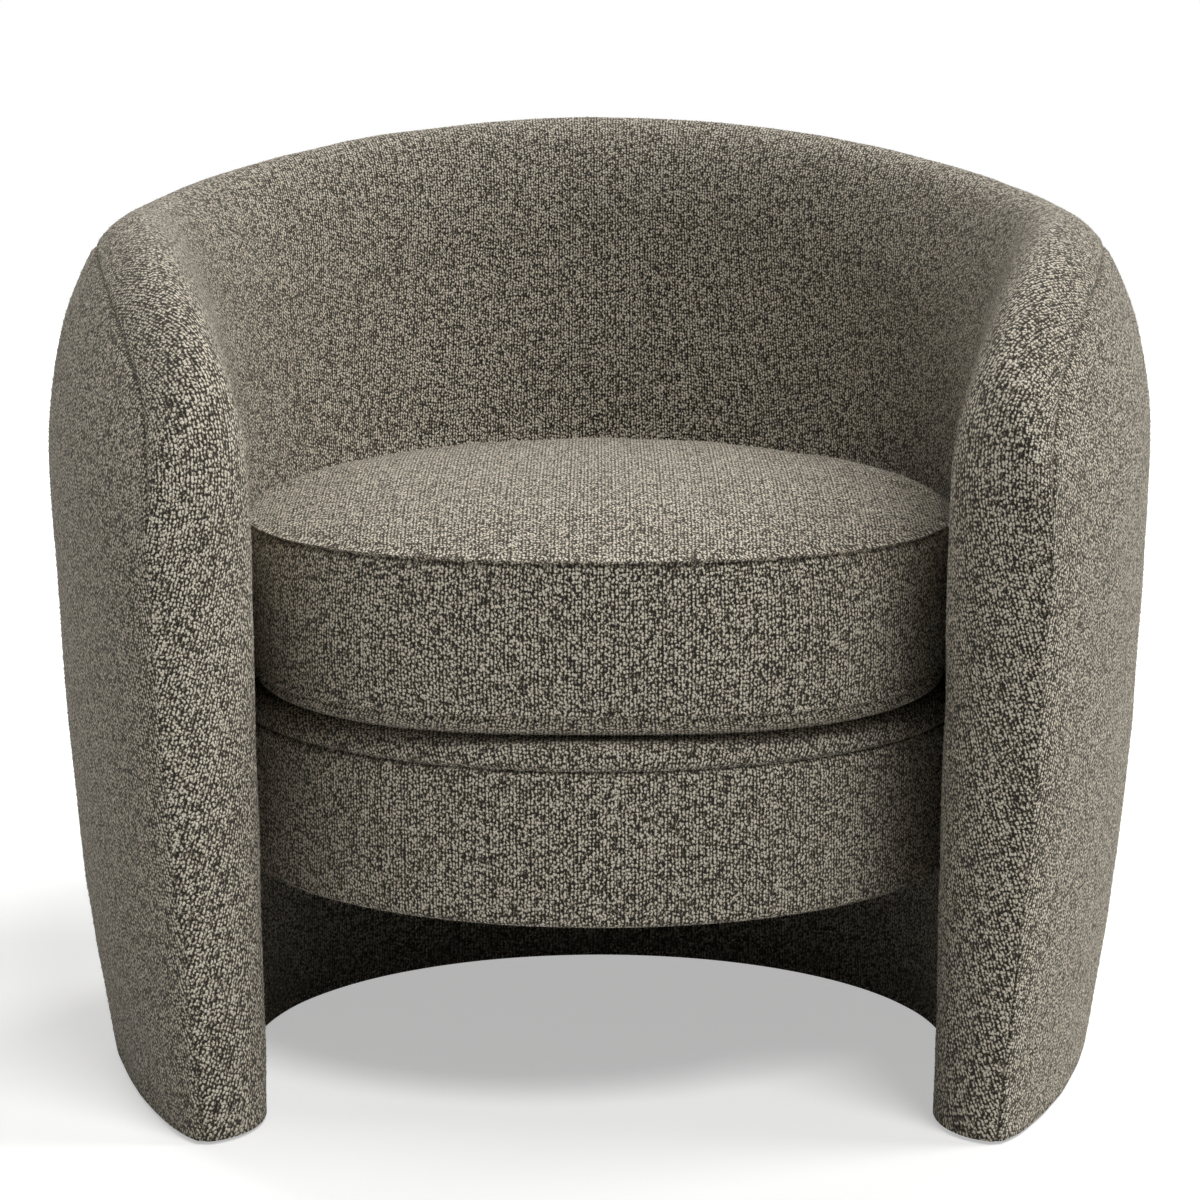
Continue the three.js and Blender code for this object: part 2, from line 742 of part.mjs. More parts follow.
function spring(x) {
  const [front, back] = spring_ends(x)
  const bars = Math.round((back - front) / spring_bar_step)
  const at = (across, depth, lift) => new THREE.Vector3(x + across, depth, wire_level + lift)
  const points = [at(-spring_end_bar, front, 0), at(spring_end_bar, front, 0)]
  for (let k = 1; k < bars; k += 1) {
    const side = k % 2 ? 1 : -1
    const lift = spring_lift * Math.sin(k / bars * Math.PI)
    points.push(at(side * spring_half_width, mix(front, back, k / bars), lift))
  }
  const side = bars % 2 ? -1 : 1
  points.push(at(side * spring_end_bar, back, 0))
  points.push(at(-side * spring_end_bar, back, 0))
  const path = new THREE.CatmullRomCurve3(points, false, 'catmullrom', spring_tension)
  const outline = new THREE.Shape()
  outline.absarc(0, 0, spring_wire / 2, 0, 2 * Math.PI)
  const steps = 2 * points.length
  const options = { steps, bevelEnabled: false, extrudePath: path, curveSegments: wire_arc_steps }
  return new THREE.ExtrudeGeometry(outline, options)
}

function clip(x, y, side) {
  const inner = spring_wire / 2 + joint_gap
  const outer = inner + clip_thickness
  const corners = [
    [-clip_tail, 0], [outer, 0], [outer, 2 * outer], [-clip_lip, 2 * outer],
    [-clip_lip, 2 * outer - clip_thickness], [inner, 2 * outer - clip_thickness],
    [inner, clip_thickness], [-clip_tail, clip_thickness],
  ]
  const outline = new THREE.Shape(corners.map(([a, b]) => new THREE.Vector2(a, b)))
  const body = new THREE.ExtrudeGeometry(outline, { depth: clip_width, bevelEnabled: false })
  const upright = body.translate(0, 0, -clip_width / 2).rotateX(Math.PI / 2)
  return upright.rotateZ(side * Math.PI / 2).translate(x, y, upper_ring_top + joint_gap)
}

// Cushion: a round front, and a back that follows the leaning wall
function cushion_reach(turn, z, inset) {
  const widest = inner_widest(z)
  const half = inner_half(z)
  const deep = inner_back(z) - widest
  const ray = (angle) => {
    const offset = seat_centre - widest
    const a = (Math.cos(angle) / half) ** 2 + (Math.sin(angle) / deep) ** 2
    const b = offset * Math.sin(angle) / deep ** 2
    const c = (offset / deep) ** 2 - 1
    return (-b + Math.sqrt(b * b - a * c)) / a
  }
  if (Math.sin(turn) >= 0) return ray(turn) - cushion_gap - inset
  const side = ray(0) - cushion_gap - inset
  const front = cushion_front_radius - inset
  return 1 / Math.hypot(Math.cos(turn) / side, Math.sin(turn) / front)
}

function cushion_ring(z, level, share, inset) {
  const points = []
  for (let k = 0; k < cushion_angles; k += 1) {
    const turn = (k + 0.5) / cushion_angles * 2 * Math.PI
    const reach = cushion_reach(turn, level, inset) * share
    points.push(new THREE.Vector3(reach * Math.cos(turn), seat_centre + reach * Math.sin(turn), z))
  }
  return share > 0 ? points : [new THREE.Vector3(0, seat_centre, z)]
}

function crown_rings(inset, start) {
  return crown_shares.map(([share, rise]) => {
    const z = mix(cushion_top_seam, cushion_crown_top - inset, rise) + start * (1 - rise)
    return cushion_ring(z, cushion_top_seam, share, inset + boxing_bulge)
  })
}

function low_rings(inset, start) {
  return low_crown_shares.map(([share, fall]) => {
    const z = mix(cushion_low_seam, cushion_bottom + inset, fall) - start * (1 - fall)
    return cushion_ring(z, cushion_low_seam, share, inset + boxing_bulge)
  })
}

function boxing_rings(inset) {
  return boxing_shares.map((share) => {
    const z = mix(cushion_low_seam, cushion_top_seam, share)
    const bulge = boxing_bulge * (1 - (2 * share - 1) ** 2)
    return cushion_ring(z, z, 1, inset + boxing_bulge - bulge)
  })
}

// The zip runs on the circle that fits the bend of the wall at the back
const zip_bend = inner_half(zip_level) ** 2 / (inner_back(zip_level) - inner_widest(zip_level))
const zip_centre = inner_back(zip_level) - zip_bend
const zip_radius = zip_bend - cushion_gap - zip_recess

// Piece of a ring round the zip's own centre at the back of the cushion
function zip_arc(radius_from, radius_to, low, high, half_angle) {
  const grid = (radius) => {
    const columns = []
    for (let k = 0; k <= zip_steps; k += 1) {
      const turn = Math.PI / 2 + mix(-half_angle, half_angle, k / zip_steps)
      const x = radius * Math.cos(turn)
      const y = zip_centre + radius * Math.sin(turn)
      columns.push([new THREE.Vector3(x, y, low), new THREE.Vector3(x, y, high)])
    }
    return columns
  }
  return solid_of(body_between(grid(radius_to), grid(radius_from)))
}

function zip_band(radius_from, radius_to, height, half_angle) {
  return zip_arc(radius_from, radius_to, zip_level - height / 2, zip_level + height / 2, half_angle)
}

function cushion_core() {
  const inset = cloth_thickness + core_gap
  const sides = boxing_rings(inset).slice(1, -1)
  const rings = [...low_rings(inset, 0).reverse(), ...sides, ...crown_rings(inset, 0)]
  const deep = zip_radius - zip_chain_depth - zip_tape_depth - 3 * joint_gap
  const height = zip_tape_height + 2 * joint_gap
  const channel = zip_band(deep, zip_bend + zip_cut_margin, height, zip_half_angle)
  return solid_of(body_of_rings(rings, false)).subtract(channel)
}

function cushion_boxing() {
  const rings = [...boxing_rings(0), ...boxing_rings(cloth_thickness).reverse()]
  const [near, far] = [zip_radius - zip_cut_margin, zip_bend + zip_cut_margin]
  const slot = zip_band(near, far, zip_slot_height, zip_half_angle)
  return solid_of(body_of_rings(rings, true)).subtract(slot)
}

function cushion_panel(rings_of) {
  const outer = rings_of(0, seam_gap)
  const inner = rings_of(cloth_thickness, seam_gap)
  return body_of_rings([...outer.slice().reverse(), ...inner], false)
}

function zip_slider() {
  const radius = zip_radius + joint_gap
  const half = slider_width / 2 / radius
  const body = zip_band(radius, radius + slider_depth, slider_height, half)
  const tab_half = slider_tab_length / 2 / radius
  const tab = zip_band(radius + slider_depth / 2, radius + slider_depth, slider_tab_height, tab_half)
  const middle = geometry_from(body.add(tab)).translate(0, -zip_centre, 0)
  return middle.rotateZ(slider_closed_turn).translate(0, zip_centre, 0)
}

const chair = new THREE.Group()
chair.name = 'tub_chair'

function add_base_pieces() {
  const glide_places = [
    ['front_left', -0.8125], ['front_right', 0.8125], ['side_left', -0.5], ['side_right', 0.5],
    ['back_left', -0.25], ['back_right', 0.25], ['back', 0],
  ]
  for (const [name, place] of glide_places) add_part(chair, `glide_${name}`, glide(place), black_plastic)
  const holes = glide_places.map(([, place]) => glide_hole(place))
  const foot = wall_solid(inside_foam_inset, inside_foam_inset, 0, whole_wall)
  const lining = wall_slice(foot, lining_bottom, lining_bottom + lining_thickness)
  add_part(chair, 'base_lining', geometry_from(cut_all(lining, holes)), lining_cloth)
  const base = wall_slice(wall_core, base_plate_bottom, base_plate_top)
  add_part(chair, 'base_plate', geometry_from(cut_all(base, holes)), plywood)
}

function add_frame_pieces() {
  const laps = rib_list.map(([, depth, half_turns]) => lap_cut(depth, half_turns))
  const middle = cut_all(wall_slice(wall_core, middle_plate_bottom, middle_plate_top), laps)
  add_part(chair, 'middle_plate', geometry_from(middle), plywood)
  const top = wall_slice(wall_core, top_plate_bottom, top_plate_bottom + ply_thickness)
  add_part(chair, 'top_plate', geometry_from(top), plywood)
  for (const [name, depth, half_turns] of rib_list) {
    add_part(chair, `rib_${name}`, geometry_from(rib(depth, half_turns)), timber)
  }
  const inside_board = solid_of(wall_board(inside_board_inset, base_plate_bottom, board_place_share, false))
  add_part(chair, 'inside_board', geometry_from(cut_all(inside_board, bolt_holes)), fibreboard)
  const outside_board = wall_board(outside_board_inset, base_plate_bottom, board_place_share, true)
  add_part(chair, 'outside_board', outside_board, fibreboard)
}

// One half of a wall layer, parted at the middle of the back
function half_of(solid, side) {
  const x = side * (overall_width + seam_gap) / 2
  return solid.intersect(solid_of(block(overall_width, 4 * overall_depth, 2 * overall_height, x, 0, 0)))
}

function add_wall_padding() {
  const foam_end = inside_foam_inset + inside_foam_thickness
  const layer = solid_of(inside_layer(inside_foam_inset, foam_end, base_plate_bottom, foam_trim))
  const inside_foam = cut_all(layer, bolt_holes)
  add_part(chair, 'inside_foam_left', geometry_from(half_of(inside_foam, -1)), foam)
  add_part(chair, 'inside_foam_right', geometry_from(half_of(inside_foam, 1)), foam)
  const wadding_end = inside_foam_inset + outside_foam_thickness
  const outside_wadding = outside_layer(inside_foam_inset, wadding_end, base_plate_bottom, foam_trim)
  add_part(chair, 'outside_wadding', outside_wadding, wadding)
  const inside_cover = solid_of(inside_layer(0, cloth_thickness, cover_foot, 1))
  add_part(chair, 'inside_cover', geometry_from(cut_all(inside_cover, bolt_holes)), cloth)
  add_part(chair, 'outside_cover', outside_layer(0, cloth_thickness, cover_foot, 1), cloth)
}

function add_seat_frame() {
  add_part(chair, 'seat_ring_lower', geometry_from(drum_plate(lower_ring_bottom)), plywood)
  add_part(chair, 'seat_ring_upper', geometry_from(drum_plate(upper_ring_bottom)), plywood)
  const front_reach = side_post_x
  const turned_x = front_reach * Math.sin(front_post_turn)
  const turned_y = seat_centre - front_reach * Math.cos(front_post_turn)
  const posts = [
    ['front_left', -turned_x, turned_y], ['front_right', turned_x, turned_y],
    ['side_left', -side_post_x, side_post_depth], ['side_right', side_post_x, side_post_depth],
    ['back', 0, back_post_depth],
  ]
  for (const [name, x, y] of posts) {
    add_part(chair, `seat_post_${name}`, geometry_from(seat_post(x, y)), timber)
  }
  const bolt_names = ['left', 'right', 'back']
  bolts.forEach((bolt, k) => add_part(chair, `seat_bolt_${bolt_names[k]}`, geometry_from(bolt), steel))
  spring_places.forEach((x, k) => add_part(chair, `spring_${k + 1}`, spring(x), steel))
  spring_places.forEach((x, k) => {
    const [front, back] = spring_ends(x)
    add_part(chair, `spring_clip_front_${k + 1}`, clip(x, front, 1), steel)
    add_part(chair, `spring_clip_back_${k + 1}`, clip(x, back, -1), steel)
  })
}

function add_drum_pieces() {
  const board_inset = inside_foam_inset + border_foam_thickness + layer_gap
  const board = drum_layer(board_inset, front_board_thickness, lower_ring_bottom, upper_ring_top)
  add_part(chair, 'front_board', geometry_from(board), fibreboard)
  const foam_top = deck_foam_bottom - layer_gap
  const border_foam = drum_layer(inside_foam_inset, border_foam_thickness, lower_ring_bottom, foam_top)
  add_part(chair, 'border_foam', geometry_from(border_foam), foam)
  add_part(chair, 'border_cover', geometry_from(border_cover()), cloth)
  add_part(chair, 'deck_pad', geometry_from(deck_pad()), foam)
  add_part(chair, 'deck_cover', geometry_from(deck_cover()), cloth)
  const dust_low = drum_bottom + joint_gap
  const dust_high = dust_low + lining_thickness
  const dust = round_ring(0, seat_radius - turned_edge - joint_gap, dust_low, dust_high, round_sides)
  const dust_cover = between_walls(carried_back(dust, dust_low, dust_high))
  add_part(chair, 'dust_cover', geometry_from(dust_cover), lining_cloth)
}

function add_cushion_pieces() {
  add_part(chair, 'cushion_core', geometry_from(cushion_core()), foam)
  add_part(chair, 'cushion_top_panel', cushion_panel(crown_rings), cloth)
  add_part(chair, 'cushion_bottom_panel', cushion_panel(low_rings), cloth)
  add_part(chair, 'cushion_boxing', geometry_from(cushion_boxing()), cloth)
}

function add_zip_pieces() {
  const tape_radius = zip_radius - zip_chain_depth - joint_gap
  const tape_half = zip_half_angle * zip_tape_share
  const tape = zip_band(tape_radius - zip_tape_depth, tape_radius, zip_tape_height, tape_half)
  add_part(chair, 'zip_tape', geometry_from(tape), lining_cloth)
  const chain_half = zip_half_angle * zip_chain_share
  const chain = zip_band(zip_radius - zip_chain_depth, zip_radius, zip_chain_height, chain_half)
  add_part(chair, 'zip_chain', geometry_from(chain), black_plastic)
  add_part(chair, 'zip_slider', zip_slider(), steel)
}

add_base_pieces()
add_frame_pieces()
add_wall_padding()
add_seat_frame()
add_drum_pieces()
add_cushion_pieces()
add_zip_pieces()

export default chair
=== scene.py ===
# %% [markdown]
# # A round tub chair in looped cloth
# The real chair is a horseshoe wall of foam and board that leans outwards, a round drum hung between
# its arms, and a loose box cushion. All of it wears one knitted cloth with small standing loops.
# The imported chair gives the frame: every piece made here sits where a solid of it sits, in metres.

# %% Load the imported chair
import itertools
import json
import math

import bpy
import numpy as np
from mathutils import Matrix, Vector, noise
from mathutils.kdtree import KDTree

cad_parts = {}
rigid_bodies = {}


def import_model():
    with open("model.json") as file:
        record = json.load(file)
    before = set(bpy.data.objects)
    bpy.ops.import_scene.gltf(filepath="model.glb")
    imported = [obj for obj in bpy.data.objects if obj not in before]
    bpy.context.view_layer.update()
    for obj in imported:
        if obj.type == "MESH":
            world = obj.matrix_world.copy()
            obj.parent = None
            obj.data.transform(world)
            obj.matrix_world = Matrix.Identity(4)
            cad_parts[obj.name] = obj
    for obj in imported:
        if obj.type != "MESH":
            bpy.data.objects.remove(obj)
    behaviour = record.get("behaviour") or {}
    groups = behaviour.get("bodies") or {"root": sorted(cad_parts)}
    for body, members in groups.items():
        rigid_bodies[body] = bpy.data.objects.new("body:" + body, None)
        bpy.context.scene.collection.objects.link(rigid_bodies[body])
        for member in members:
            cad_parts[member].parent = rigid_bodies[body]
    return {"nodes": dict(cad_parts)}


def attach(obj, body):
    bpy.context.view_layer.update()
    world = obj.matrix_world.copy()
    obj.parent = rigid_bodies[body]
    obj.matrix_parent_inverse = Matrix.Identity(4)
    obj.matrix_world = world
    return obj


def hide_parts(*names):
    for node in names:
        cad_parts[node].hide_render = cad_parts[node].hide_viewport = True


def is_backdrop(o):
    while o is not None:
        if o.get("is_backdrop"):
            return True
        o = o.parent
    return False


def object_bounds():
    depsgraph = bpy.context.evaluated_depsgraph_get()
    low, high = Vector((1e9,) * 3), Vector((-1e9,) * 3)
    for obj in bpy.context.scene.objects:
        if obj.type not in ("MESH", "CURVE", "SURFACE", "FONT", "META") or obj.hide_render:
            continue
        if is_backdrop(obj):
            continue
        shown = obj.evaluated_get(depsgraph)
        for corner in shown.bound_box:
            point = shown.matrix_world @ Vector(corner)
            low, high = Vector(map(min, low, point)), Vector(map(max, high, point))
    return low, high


for left_over in list(bpy.data.objects):
    bpy.data.objects.remove(left_over)
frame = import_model()
cad_low, cad_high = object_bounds()
scene = bpy.context.scene
print("solids:", len(frame["nodes"]), "box:", [round(v, 3) for v in (*cad_low, *cad_high)])

# %% [markdown]
# ## Camera
# The photograph looks straight at the front from a little above. The round seat and the floor line
# give the angle: about nine and a half degrees down, with a long lens nearly three metres away.

# %% Place the camera
CAMERA_PLACE = (0.0, -2.863, 0.813)
CAMERA_DOWN = 9.567  # degrees
CAMERA_LENS, SENSOR = 108.3, 36.0  # millimetres
camera_data = bpy.data.cameras.new("camera")
camera_data.lens = CAMERA_LENS
camera_data.sensor_width = SENSOR
camera = bpy.data.objects.new("camera", camera_data)
camera.location = CAMERA_PLACE
camera.rotation_euler = (math.radians(90 - CAMERA_DOWN), 0, 0)
scene.collection.objects.link(camera)
scene.camera = camera
scene.view_settings.view_transform = "Standard"
print("camera:", CAMERA_PLACE, "looking", CAMERA_DOWN, "degrees down")

# %% [markdown]
# ## Shape of the wall
# Upholsterers cut foam to a plan curve at each height. The same is done here: two curves, one inside
# and one outside, change smoothly from the floor to the rim, and the rim is rolled between them.
# Every size is a share of the chair's width, depth or height, so that it follows the solids.

# %% Sizes of the wall
WIDTH, DEPTH, HEIGHT = 0.864, 0.770, 0.704
# Pairs in a table: a share of the height, and the share of the width or depth that the wall has there.
OUTER_WIDTH = [(0, 0.909), (0.142, 0.946), (0.284, 0.97), (0.427, 0.986), (0.6, 0.998),
               (0.68, 1), (1, 1)]
OUTER_BACK = [(0, 0.815), (0.142, 0.857), (0.284, 0.899), (0.427, 0.938), (0.569, 0.97), (0.683, 0.99),
              (0.78, 1), (1, 1)]
INNER_WIDTH = [(0, 0.625), (0.2, 0.637), (0.4, 0.65), (0.61, 0.66), (0.8, 0.69), (1, 0.72)]
INNER_BACK = [(0, 0.66), (0.2, 0.708), (0.4, 0.757), (0.61, 0.799), (0.74, 0.823), (0.86, 0.842),
              (1, 0.855)]
INNER_WIDEST = [(0, 0.312), (0.61, 0.4286), (1, 0.45)]
NOSE_WIDTH = [(0, 0.656), (0.3, 0.7), (0.583, 0.727), (0.65, 0.731), (1, 0.74)]
NOSE_INNER = [(0, 0.522), (0.61, 0.537), (1, 0.54)]
OUTER_WIDEST = 0.4545 * DEPTH
NOSE_LENGTH = 0.104 * DEPTH
SIDE_HEIGHT, NOSE_HEIGHT = 0.917 * HEIGHT, 0.626 * HEIGHT
SEAM_TURN = 0.67 * math.pi
# How the inner line swings in along an arm, how full the nose and the arm's outside are, how the rim
# sinks to the sides, and how full the rim's outer roll is.
SWEEP_POWER, NOSE_POWER, ARM_POWER, RIM_POWER, ROLL_POWER = 1.5, 1.6, 1.4, 1.7, 1.08
# Height of the inner and outer roll as shares of the height, and the place of the crest as a share of
# the thickness: at the sides, and at the back.
INNER_ROLL, OUTER_ROLL, CREST = (0.17, 0.13), (0.25, 0.2), (0.38, 0.5)


def mix(a, b, t):
    """From a to b as t goes from 0 to 1."""
    return a + (b - a) * t


def bell(distance, width):
    """One at no distance, falling smoothly to almost nothing at twice the width."""
    return np.exp(-((distance / width) ** 2))


def along(table, where):
    """Smooth value through a table of pairs."""
    x, y = np.array(table, float).T
    last = len(x) - 1
    place = np.clip(where, x[0], x[-1])
    i = np.clip(np.searchsorted(x, place) - 1, 0, last - 1)
    after, before = np.minimum(np.arange(last + 1) + 1, last), np.maximum(np.arange(last + 1) - 1, 0)
    slope = (y[after] - y[before]) / (x[after] - x[before])
    step = x[i + 1] - x[i]
    t = (place - x[i]) / step
    start = y[i] * (1 + 2 * t) * (1 - t) ** 2 + slope[i] * step * t * (1 - t) ** 2
    return start + y[i + 1] * t * t * (3 - 2 * t) + slope[i + 1] * step * t * t * (t - 1)


def corner_left(share, power):
    """Share of a rounded corner that is left at a share of its length."""
    return (1 - np.clip(share, 0, 1) ** power) ** (1 / power)


# %% Plan curves and rolled rim
SIDE_PLACE = np.array(0.5)  # places go from 0 in the middle of the back to 1 at the front of an arm


def inner_half(z):
    return WIDTH / 2 * along(INNER_WIDTH, z / HEIGHT)


def inner_back(z):
    return DEPTH * along(INNER_BACK, z / HEIGHT)


def inner_widest(z):
    return DEPTH * along(INNER_WIDEST, z / HEIGHT)


def turns(place):
    """Place 0 is the middle of the back, 0.5 the widest line and 1 the front of an arm."""
    size = np.abs(place)
    return (1 - np.minimum(size / 0.5, 1)) * np.pi / 2, np.maximum(size / 0.5 - 1, 0) * np.pi / 2


def wall_plan(place, z, inset=0.0):
    """Inner and outer plan point of the wall, with depth counted from the tips of the arms."""
    back, front = turns(place)
    side = np.where(place < 0, -1.0, 1.0)
    widest = inner_widest(z)
    nose = WIDTH / 2 * along(NOSE_WIDTH, z / HEIGHT)
    outer_half = WIDTH / 2 * along(OUTER_WIDTH, z / HEIGHT)
    outer_back = DEPTH * along(OUTER_BACK, z / HEIGHT)
    inner_y = inset + (widest - inset) * (1 - np.sin(front))
    outer_y = inset + (OUTER_WIDEST - inset) * (1 - np.sin(front))
    sweep = (np.maximum(widest - inner_y, 0) / widest) ** SWEEP_POWER
    line = mix(inner_half(z), WIDTH / 2 * along(NOSE_INNER, z / HEIGHT), sweep) + inset
    left = corner_left(1 - (inner_y - inset) / (NOSE_LENGTH - min(inset, NOSE_LENGTH / 2)), NOSE_POWER)
    spread = corner_left(np.sin(front), ARM_POWER)
    in_front = front > 0
    inner_x = np.where(in_front, mix(nose, line, left), (inner_half(z) + inset) * np.cos(back))
    inner_y = np.where(in_front, inner_y, widest + (inner_back(z) + inset - widest) * np.sin(back))
    half = outer_half - inset
    outer_x = np.where(in_front, nose + (half - nose) * spread, half * np.cos(back))
    behind = OUTER_WIDEST + (outer_back - inset - OUTER_WIDEST) * np.sin(back)
    outer_y = np.where(in_front, outer_y, behind)
    return side * inner_x, inner_y, side * outer_x, outer_y


def thickness(place, z):
    """Distance through the wall, from its inner to its outer plan curve."""
    ix, iy, ox, oy = wall_plan(place, z)
    return np.hypot(ox - ix, oy - iy)


def rim_height(place):
    """Height of the rim: level behind, sinking to the sides and then along the arms to their noses."""
    back, front = turns(place)
    top = mix(SIDE_HEIGHT, HEIGHT, np.sin(back) ** RIM_POWER)
    return np.where(front > 0, mix(NOSE_HEIGHT, SIDE_HEIGHT, np.cos(front)), top)


def roll_point(place, turn, inset=0.0):
    """Point of the rolled rim: turn 0 on the inner wall, half a turn on the outer wall."""
    back, _ = turns(place)
    share = np.sin(back) ** 2
    full = thickness(SIDE_PLACE, np.array(NOSE_HEIGHT))
    thin = np.minimum(np.sqrt(thickness(place, NOSE_HEIGHT + 0 * place) / full), 1)
    inner_roll = mix(*INNER_ROLL, share) * HEIGHT * thin
    outer_roll = mix(*OUTER_ROLL, share) * HEIGHT * thin
    whole = np.where(turn < np.pi / 2, inner_roll, outer_roll)
    roll = np.maximum(whole - inset, whole / 10)
    lift = np.maximum(np.sin(turn), 0)
    lift = np.where(turn < np.pi / 2, lift, lift ** ROLL_POWER)
    z = rim_height(place) - inset - roll + roll * lift
    ix, iy, ox, oy = wall_plan(place, z, inset)
    crest = mix(*CREST, share)
    swing = np.cos(turn)
    part = np.where(swing > 0, crest * (1 - swing), crest - (1 - crest) * swing)
    return np.stack([mix(ix, ox, part), mix(iy, oy, part), z], -1)


at_seat_height = float(thickness(SIDE_PLACE, np.array(0.4)))
print("wall is", round(at_seat_height * 1000), "mm thick at the side")

# %% [markdown]
# ## From points to a piece
# A cover is a sheet of points with rows and columns, so a grid makes it. Its pattern coordinates
# are real metres along the cloth: counted from the middle of the back and from the floor. So the knit
# keeps its size over every curve, which a pattern in space would not do.

# %% Helpers for meshes
def new_piece(name, points, faces, uvs=None, smooth=True):
    """An object at the origin with its place in its mesh; uvs holds one pair for each corner."""
    mesh = bpy.data.meshes.new(name)
    mesh.from_pydata([tuple(p) for p in points], [], [tuple(int(v) for v in f) for f in faces])
    if uvs is not None:
        layer = mesh.uv_layers.new(name="cloth")
        layer.data.foreach_set("uv", np.asarray(uvs, float).ravel())
    if smooth:
        mesh.polygons.foreach_set("use_smooth", [True] * len(mesh.polygons))
    mesh.update()
    piece = bpy.data.objects.new(name, mesh)
    scene.collection.objects.link(piece)
    return piece


def mark_seam_press_and_shade(piece, share):
    """Stores how much a seam darkens each point, from 0 to 1: pressed loops and painted shade."""
    layer = piece.data.attributes.new("sewn", "FLOAT", "POINT")
    layer.data.foreach_set("value", np.asarray(share, np.float32).ravel())


def to_row(points):
    """Depth from the arm tips to depth from the middle of the chair."""
    return points - np.array([0, DEPTH / 2, 0])


def arc_lengths(grid, axis):
    """Length along the cloth from the first point, in one direction of the grid."""
    step = np.linalg.norm(np.diff(grid, axis=axis), axis=-1)
    return np.concatenate([np.zeros_like(step.take([0], axis)), np.cumsum(step, axis)], axis)


def grid_normals(grid):
    """Direction away from the sheet at every point of a grid."""
    across, up = np.gradient(grid, axis=0), np.gradient(grid, axis=1)
    normal = np.cross(across, up)
    return normal / np.maximum(np.linalg.norm(normal, axis=-1, keepdims=True), 1e-12)


def grid_faces(columns, rows):
    """Quads of a grid of points that is stored column by column."""
    i, j = np.meshgrid(np.arange(columns - 1), np.arange(rows - 1), indexing="ij")
    corner = i * rows + j
    return np.stack([corner, corner + rows, corner + rows + 1, corner + 1], -1).reshape(-1, 4)


def outward(piece):
    """Turns all faces outwards on a closed piece."""
    bpy.context.view_layer.objects.active = piece
    bpy.ops.object.select_all(action="DESELECT")
    piece.select_set(True)
    bpy.ops.object.mode_set(mode="EDIT")
    bpy.ops.mesh.select_all(action="SELECT")
    bpy.ops.mesh.normals_make_consistent(inside=False)
    bpy.ops.object.mode_set(mode="OBJECT")


# %% [markdown]
# ## Materials
# Each finish is built from a few nodes by one helper. Colours are the sRGB values a paint chip would
# have, and one function turns them to the linear values that a renderer works with.

# %% Node helper and colours
def to_linear(code):
    """Linear colour of an sRGB hex value."""
    channels = [int(code[k : k + 2], 16) / 255 for k in (1, 3, 5)]
    return [c / 12.92 if c < 0.04045 else ((c + 0.055) / 1.055) ** 2.4 for c in channels] + [1.0]


def add_node(tree, kind, settings=None, inputs=None, stops=()):
    """Adds a node; an input is a value, or the node and the output that it is linked to.

    Stops are the places and hex colours of a ramp, in order. All places are set before any colour,
    because a ramp sorts its stops when one of them is moved.
    """
    made = tree.nodes.new(kind)
    for key, value in (settings or {}).items():
        setattr(made, key, value)
    for place, _ in stops[2:]:
        made.color_ramp.elements.new(place)
    for k, (place, _) in enumerate(stops):
        made.color_ramp.elements[k].position = place
    for k, (_, code) in enumerate(stops):
        made.color_ramp.elements[k].color = to_linear(code)
    for key, value in (inputs or {}).items():
        if isinstance(value, tuple) and isinstance(value[0], bpy.types.Node):
            tree.links.new(value[0].outputs[value[1]], made.inputs[key])
        else:
            made.inputs[key].default_value = value
    return made


def new_material(name):
    """An empty material with its output node."""
    material = bpy.data.materials.new(name)
    material.use_nodes = True
    material.node_tree.nodes.clear()
    return material, material.node_tree, add_node(material.node_tree, "ShaderNodeOutputMaterial")


# %% [markdown]
# ### Looped upholstery cloth
# The cloth is a stretch knit of two yarns: a dark ground, and a pale looped one that stands out of it
# in nubs. The nubs sit in upright columns a little under 3 mm apart, but at another height in each
# column, and no two are alike. So every column of cells is shifted by a chance amount, a Voronoi
# pattern puts one nub in each cell, and larger loops are strewn over them. Height drives the colour
# and the bump. To the eye that gives pale grains with dark gaps, and a dry, matt face. Along a seam
# the colour is darkened, partly for the ground that shows where the loops are pressed down and partly
# as painted shade in the seam's groove: a number stored on each point says where.

# %% Looped cloth
COLUMN, COURSE = 0.0026, 0.0029  # metres between columns of nubs, and between nubs of a column
LOOP_SPACING = (0.0034, 0.0031)  # metres between the larger loops, sideways and upwards
STRAY, STRAY_SCALE = 0.0018, 330.0  # how far the rows stray in metres, and how often in a metre
CURL_SCALE, PATCH_SCALE = 900.0, 120.0  # curls of fibre, and patches of denser loops, in a metre
NUB_BUMP = 0.0014  # how far the nubs seem to stand out, in metres
YARNS = ((0.0, "#14110c"), (0.26, "#655c4f"), (0.50, "#c9bea9"), (0.88, "#fff7e6"))  # from gap to loop


def nubs(tree, coordinates, randomness, size, reach):
    """Height of one nub in every cell of a square grid, and a chance colour for each nub."""
    cells = add_node(tree, "ShaderNodeTexVoronoi", {"voronoi_dimensions": "2D"}, {
        "Vector": coordinates, "Scale": 1.0, "Randomness": randomness})
    away = add_node(tree, "ShaderNodeVectorMath", {"operation": "SUBTRACT"}, {
        0: coordinates, 1: (cells, "Position")})
    oval = add_node(tree, "ShaderNodeVectorMath", {"operation": "MULTIPLY"}, {0: (away, "Vector"), 1: size})
    length = add_node(tree, "ShaderNodeVectorMath", {"operation": "LENGTH"}, {0: (oval, "Vector")})
    height = add_node(tree, "ShaderNodeMapRange", {"interpolation_type": "SMOOTHSTEP"}, {
        "Value": (length, "Value"), "From Min": 0.0, "From Max": reach, "To Min": 1.0, "To Max": 0.0})
    chance = add_node(tree, "ShaderNodeSeparateColor", inputs={"Color": (cells, "Color")})
    return height, chance


